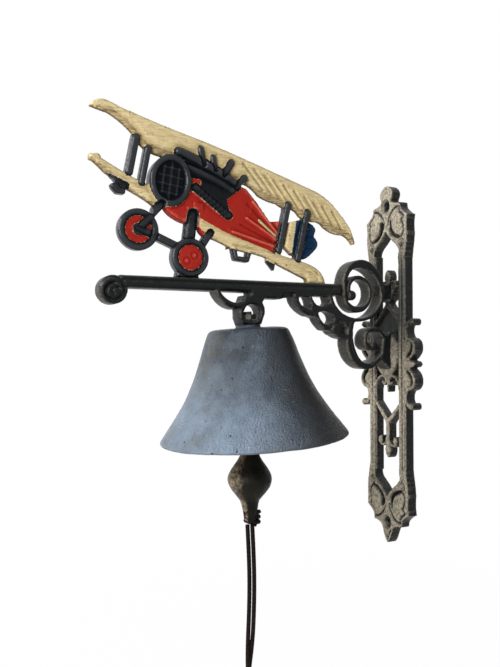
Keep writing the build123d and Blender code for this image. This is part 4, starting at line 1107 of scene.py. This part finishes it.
def buildBell():
    spacing = 0.62 * coarse
    outside = evenLine(bell["outside"], spacing)
    inside = evenLine(bell["inside"], spacing * 2.2)
    hole = np.array([(2.7, -5.5), (2.7, -2.5), (2.7, 0.0), (4.5, 0.0), (7.0, 0.0)])
    profile = np.concatenate([outside, inside[1:], hole[1:]])

    def roughen(x, y, z):
        if x * x + y * y < 64:
            return 0.0
        wave = noise.noise(Vector((x, y, z * 1.2)) / 11) + 0.8 * noise.noise(Vector((x, y + 90, z)) / 24)
        lumps = noise.noise(Vector((x + 40, y, z)) / 3.6)
        grit = noise.noise(Vector((x, y + 70, z)) / 1.1)
        return bell["wave"] * (wave + 0.45 * lumps) + bell["grit"] * grit - 0.06

    mesh = turnedMesh("castBell", profile, int(bell["around"] / coarse), roughen)
    finishMesh(mesh, lambda work: bmesh.ops.remove_doubles(work, verts=work.verts, dist=0.01 * mm))
    angle = math.radians(bell["tilt"])
    points = np.array([v.co for v in mesh.vertices])
    y = points[:, 1] * math.cos(angle) - points[:, 2] * math.sin(angle) + bell["seat"][1]
    z = points[:, 1] * math.sin(angle) + points[:, 2] * math.cos(angle) + bell["seat"][2]
    mesh.vertices.foreach_set("co", np.stack([points[:, 0], y, z], 1).astype(np.float32).ravel())
    mesh.update()
    mesh.shade_smooth()
    return addPiece("castBell", mesh, "bracket", "bell_iron", makeBellIron(), "bell")


# Clapper: the node's own shape, remeshed fine and given a casting's skin

clapper = {
    "voxel": 0.42,
    "wave": 0.22,
    "colour": (0.0040, 0.0045, 0.0040, 1),
    "brown": (0.016, 0.013, 0.008, 1),
    "tan": (0.30, 0.235, 0.160, 1),
    "hollow": (0.004, 0.004, 0.004, 1),
    "specular": 0.08,
}


def makeClapperIron():
    material, paint, shader = newMaterial("clapperIron")
    place = paint.coords()
    skin = paint.skin(1500.0, 380.0, 0.8)
    base = paint.cover(clapper["colour"], clapper["brown"], skin["Patches"], 0.8)
    grain = paint.stretch(paint.noise(420.0, 5.0, 0.75, place), 0.36, 0.62)
    # Painted highlight: a tan tint on the side facing away from the wall, broken up by the grain
    base = paint.cover(base, clapper["tan"], paint.stretch(paint.normal("Y"), -0.62, -0.98), grain)
    base = paint.mix(skin["Hollows"], base, clapper["hollow"])
    paint.feed(base, shader.inputs["Base Color"])
    paint.feed(paint.stretch(skin["Patches"], 0, 1, 0.34, 0.50), shader.inputs["Roughness"])
    paint.feed(paint.bump(skin["Height"], 0.8, 0.0005), shader.inputs["Normal"])
    shader.inputs["Specular IOR Level"].default_value = clapper["specular"]
    return material


def buildClapper():
    piece = addObject("castClapper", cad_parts["clapper"].data.copy())
    remesh = piece.modifiers.new("voxels", "REMESH")
    remesh.mode = "VOXEL"
    remesh.voxel_size = clapper["voxel"] * coarse * mm
    smooth = piece.modifiers.new("smooth", "SMOOTH")
    smooth.factor, smooth.iterations = 0.5, 5
    mesh = bpy.data.meshes.new_from_object(piece.evaluated_get(bpy.context.evaluated_depsgraph_get()))
    bpy.data.objects.remove(piece)
    mesh.name = "castClapper"
    mesh.update()
    for vertex, normal in zip(mesh.vertices, [tuple(n.vector) for n in mesh.vertex_normals]):
        place = vertex.co * 1000
        shift = clapper["wave"] * (noise.noise(place / 5.5) + 0.4 * noise.noise(place / 1.7))
        vertex.co = vertex.co + Vector(normal) * shift * mm
    mesh.shade_smooth()
    return addPiece("castClapper", mesh, "clapper", "clapper_iron", makeClapperIron(), "clapper")


# Screws, nuts, washer, eye bolt and link stay as the CAD nodes, in darkened steel

fixings = {
    "colour": (0.060, 0.056, 0.052, 1),
    "dark": (0.012, 0.011, 0.010, 1),
    "rust": (0.085, 0.034, 0.014, 1),
}


def makeDarkSteel():
    material, paint, shader = newMaterial("darkSteel")
    place = paint.coords()
    skin = paint.skin(2200.0, 620.0, 0.2)
    base = paint.mix(skin["Patches"], fixings["colour"], fixings["dark"])
    rust = paint.stretch(paint.noise(360.0, 4.0, 0.7, place), 0.54, 0.68)
    base = paint.cover(base, fixings["rust"], rust, 0.7)
    paint.feed(base, shader.inputs["Base Color"])
    paint.feed(paint.stretch(rust, 0, 1, 0.3, 0.05), shader.inputs["Metallic"])
    paint.feed(paint.stretch(rust, 0, 1, 0.38, 0.8), shader.inputs["Roughness"])
    paint.feed(paint.bump(skin["Height"], 0.4, 0.0002), shader.inputs["Normal"])
    return material


def finishFixings():
    steel = makeDarkSteel()
    iron = bpy.data.materials["clapperIron"]
    for name in ("arm_screw_upper", "arm_screw_lower", "figure_screw_front", "figure_screw_rear", "eye_bolt",
                 "loop_nut",
                 "crown_washer", "crown_nut", "clapper_link"):
        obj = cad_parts[name]
        for slot in obj.material_slots:
            slot.material = iron if name == "clapper_link" else steel


# Lace: two braided strands, the hitch round the clapper's tail and the knot at the end

lace = {
    "hangs": -97.706,          # y of the clapper's own axis, mm
    "top": -87.761,
    "radius": 1.2,
    "hitchRadius": 1.15,
    "knotRadius": 1.25,
    "around": 20,
    "spacing": 1.32,
    "turn": 65,
    "offsets": [(0.0, 0, 0), (0.9, 0, 16), (1.3, 4, 32), (1.0, -2, 48), (0.3, 6, 62), (-0.7, 62, 76), (-1.2, 120, 88),
                (-1.5, 168, 102)],
    "braidPitch": 2.3,
    "braidDepth": 0.13,
    "colour": (0.0060, 0.0042, 0.0042, 1),
    "brown": (0.020, 0.010, 0.008, 1),
    "cutEnd": (0.36, 0.13, 0.10, 1),
    "cutPlace": (2.4, -101.9, -83.4),
    "roughness": 0.58,
    "specular": 0.05,
    "pathStep": 0.45,          # mm between the rings of the hitch and the knot
    "strandStep": 0.4,
    # Turns, the two radii, rise, start angle and lean of each wrap
    "knotWrap": (2.6, 2.1, 2.4, 5.2, 0.4, 0.9),
    "hitchWrap": (2.9, 2.6, 4.2, 8.0, 2.2, -1.4),
}


def smoothRoute(name, points):
    # Points along the NURBS spline that has these control points
    curve = bpy.data.curves.new(name, "CURVE")
    curve.dimensions = "3D"
    curve.resolution_u = 24
    spline = curve.splines.new("NURBS")
    spline.points.add(len(points) - 1)
    for point, place in zip(spline.points, points):
        point.co = (*place, 1)
    spline.order_u = 3
    spline.use_endpoint_u = True
    obj = addObject(name, curve)
    bpy.context.view_layer.update()
    mesh = bpy.data.meshes.new_from_object(obj.evaluated_get(bpy.context.evaluated_depsgraph_get()))
    line = [vertex.co.copy() for vertex in mesh.vertices]
    bpy.data.objects.remove(obj)
    bpy.data.curves.remove(curve)
    bpy.data.meshes.remove(mesh)
    return line


def evenRoute(line, spacing):
    lengths = [0.0]
    for a, b in zip(line, line[1:]):
        lengths.append(lengths[-1] + (b - a).length)
    count = max(8, int(lengths[-1] / spacing))
    wanted = np.linspace(0, lengths[-1], count)
    array = np.array(line)
    return [Vector(p) for p in np.stack([np.interp(wanted, lengths, array[:, k]) for k in range(3)], 1)], lengths[-1]


def tubeMesh(name, line, radius, around, shape):
    # A closed tube along the line; shape(distance, angle) scales the radius
    points = []
    side = None
    distance = 0.0
    for n, place in enumerate(line):
        ahead = (line[min(n + 1, len(line) - 1)] - line[max(n - 1, 0)]).normalized()
        if side is None:
            side = ahead.orthogonal().normalized()
        side = (side - ahead * side.dot(ahead)).normalized()
        other = ahead.cross(side)
        if n:
            distance += (place - line[n - 1]).length
        for k in range(around):
            angle = 2 * math.pi * k / around
            reach = radius * shape(distance, angle)
            points.append(place + side * math.cos(angle) * reach + other * math.sin(angle) * reach)
    faces = ringFaces(len(line), around)
    start, end = len(points), len(points) + 1
    points += [line[0], line[-1]]
    for k in range(around):
        faces.append((start, (k + 1) % around, k))
        faces.append((end, (len(line) - 1) * around + k, (len(line) - 1) * around + (k + 1) % around))
    mesh = bpy.data.meshes.new(name)
    mesh.from_pydata([tuple(p) for p in points], [], faces)
    finishMesh(mesh)
    mesh.shade_smooth()
    return mesh


def braid(distance, angle):
    # Two families of strands that cross over and under
    turns = distance / (lace["braidPitch"] * mm) * 2 * math.pi
    return 1.0 - lace["braidDepth"] + lace["braidDepth"] * max(abs(math.sin(turns / 2 + 2 * angle)),
                                                               abs(math.sin(turns / 2 - 2 * angle)))


def makeLaceLeather():
    material, paint, shader = newMaterial("laceLeather")
    place = paint.coords()
    lower = paint.stretch(paint.axis(place, "Z"), -0.130, -0.165)
    mottle = paint.stretch(paint.noise(520.0, 4.0, 0.7, place), 0.38, 0.66)
    base = paint.cover(lace["colour"], lace["brown"], mottle, paint.stretch(lower, 0, 1, 0.25, 0.95))
    # The cut end beside the hitch shows the pinkish inside of the leather
    away = paint.nodes.new("ShaderNodeVectorMath")
    away.operation = "DISTANCE"
    away.inputs[1].default_value = [c * mm for c in lace["cutPlace"]]
    paint.links.new(place, away.inputs[0])
    cut = paint.stretch(away.outputs["Value"], 0.0024, 0.0012, 0.0, 1.0)
    base = paint.cover(base, lace["cutEnd"], cut, paint.stretch(mottle, 0, 1, 0.9, 0.45))
    paint.feed(base, shader.inputs["Base Color"])
    shader.inputs["Roughness"].default_value = lace["roughness"]
    fibre = paint.noise(3200.0, 3.0, 0.7, place)
    paint.feed(paint.bump(fibre, 0.5, 0.00015), shader.inputs["Normal"])
    shader.inputs["Specular IOR Level"].default_value = lace["specular"]
    return material


def laceRoute(side):
    points = []
    for drift, turn, drop in lace["offsets"]:
        angle = math.radians(lace["turn"] + turn)
        across = side * lace["spacing"]
        points.append((across * math.cos(angle) * mm, (lace["hangs"] + drift + across * math.sin(angle)) * mm,
                       (lace["top"] - drop) * mm))
    return points


def wrap(centre, turns, radiusX, radiusY, rise, start, lean):
    # Control points of a turned wrap, in mm about its centre
    points = []
    count = int(turns * 8) + 1
    for n in range(count):
        angle = start + 2 * math.pi * n / 8
        share = n / (count - 1) - 0.5
        points.append(((centre[0] + radiusX * math.cos(angle)) * mm, (centre[1] + radiusY * math.sin(angle)) * mm,
                       (centre[2] + rise * share + lean * math.sin(angle)) * mm))
    return points


def buildLace():
    leather = makeLaceLeather()
    knotCentre = (0, lace["hangs"] - 1.5, lace["top"] - 104.6)
    knotLine, _ = evenRoute(smoothRoute("knotRoute", wrap(knotCentre, *lace["knotWrap"])), lace["pathStep"] * mm)
    knot = addPiece("laceEndKnot", tubeMesh("laceEndKnot", knotLine, lace["knotRadius"] * mm, lace["around"], braid),
                    "clapper", "leather_lace", leather, "lace_end_knot")
    hitchCentre = (0, lace["hangs"] + 1.4, lace["top"] + 4.2)
    hitchLine, _ = evenRoute(smoothRoute("hitchRoute", wrap(hitchCentre, *lace["hitchWrap"])), lace["pathStep"] * mm)
    addPiece("laceHitch", tubeMesh("laceHitch", hitchLine, lace["hitchRadius"] * mm, lace["around"], braid), "clapper",
             "leather_lace", leather, "lace_hitch")
    for side, name, node in ((-1, "laceStrandLeft", "lace_strand_left"), (1, "laceStrandRight", "lace_strand_right")):
        line, length = evenRoute(smoothRoute(name + "Route", laceRoute(side)), lace["strandStep"] * mm)
        mesh = tubeMesh(name, line, lace["radius"] * mm, lace["around"], braid)
        strand = addPiece(name, mesh, "clapper", "leather_lace", leather, node)
    print("lace length", round(length * 1000, 1), "mm")


# Floor, backdrop and lamps

studio = {
    "floorHeight": -0.30,
    "floorSize": 8.0,
    "nearWhite": 0.97,
    "floorColour": (0.80, 0.80, 0.79, 1),
    "floorRoughness": 0.9,
    "whiteFrom": 0.3,          # distances from the origin between which the floor turns white, m
    "whiteAt": 0.9,
    "worldStrength": 0.06,
    "lamps": {
        "frontLight": ((0.72, -1.00, 0.35), (0, -0.1, 0.02), 0.6, 18.0),
        "leftLight": ((-0.30, -1.15, 0.75), (0, -0.1, 0.0), 0.35, 17.0),
    },
}


def addFloor():
    half = studio["floorSize"] / 2
    z = studio["floorHeight"]
    mesh = bpy.data.meshes.new("floor")
    mesh.from_pydata([(-half, -half, z), (half, -half, z), (half, half, z), (-half, half, z)], [], [(0, 1, 2, 3)])
    floor = addObject("floor", mesh)
    material, paint, shader = newMaterial("paleFloor")
    shader.inputs["Base Color"].default_value = studio["floorColour"]
    shader.inputs["Roughness"].default_value = studio["floorRoughness"]
    # Far from the object the floor is as white as the backdrop, near it the shadow shows
    length = paint.nodes.new("ShaderNodeVectorMath")
    length.operation = "LENGTH"
    paint.links.new(paint.coords(), length.inputs[0])
    whiteness = paint.stretch(length.outputs["Value"], studio["whiteFrom"], studio["whiteAt"], studio["nearWhite"], 1.0)
    seen = paint.times(whiteness, paint.backdropRays())
    glow = paint.nodes.new("ShaderNodeEmission")
    glow.inputs["Color"].default_value = (1, 1, 1, 1)
    both = paint.nodes.new("ShaderNodeMixShader")
    paint.links.new(seen, both.inputs[0])
    paint.links.new(shader.outputs[0], both.inputs[1])
    paint.links.new(glow.outputs[0], both.inputs[2])
    paint.links.new(both.outputs[0], paint.nodes["Material Output"].inputs["Surface"])
    mesh.materials.append(material)


def addLamp(name, place, target, size, power):
    data = bpy.data.lights.new(name, "AREA")
    data.energy = power
    data.size = size
    lamp = addObject(name, data)
    lamp.location = place
    lamp.rotation_euler = (Vector(target) - Vector(place)).to_track_quat("-Z", "Y").to_euler()


def addWorld():
    world = bpy.data.worlds.new("paleRoom")
    world.use_nodes = True
    background = world.node_tree.nodes["Background"]
    background.inputs["Color"].default_value = (1, 1, 1, 1)
    paint = Painter(world.node_tree)
    strength = paint.math("MAXIMUM", paint.backdropRays(), studio["worldStrength"])
    paint.feed(strength, background.inputs["Strength"])
    bpy.context.scene.world = world


addCamera()
buildLace()
print("camera and lace ready")
addFloor()
addWorld()
for name, (place, target, size, power) in studio["lamps"].items():
    addLamp(name, place, target, size, power)
print("stage set")
buildClapper()
finishFixings()
buildBell()
print("bell and clapper ready")
buildWallPlate()
buildBracketArm()
print("plate and arm ready")
buildFigure()
print("figure ready")

bpy.context.scene.view_settings.view_transform = "Standard"
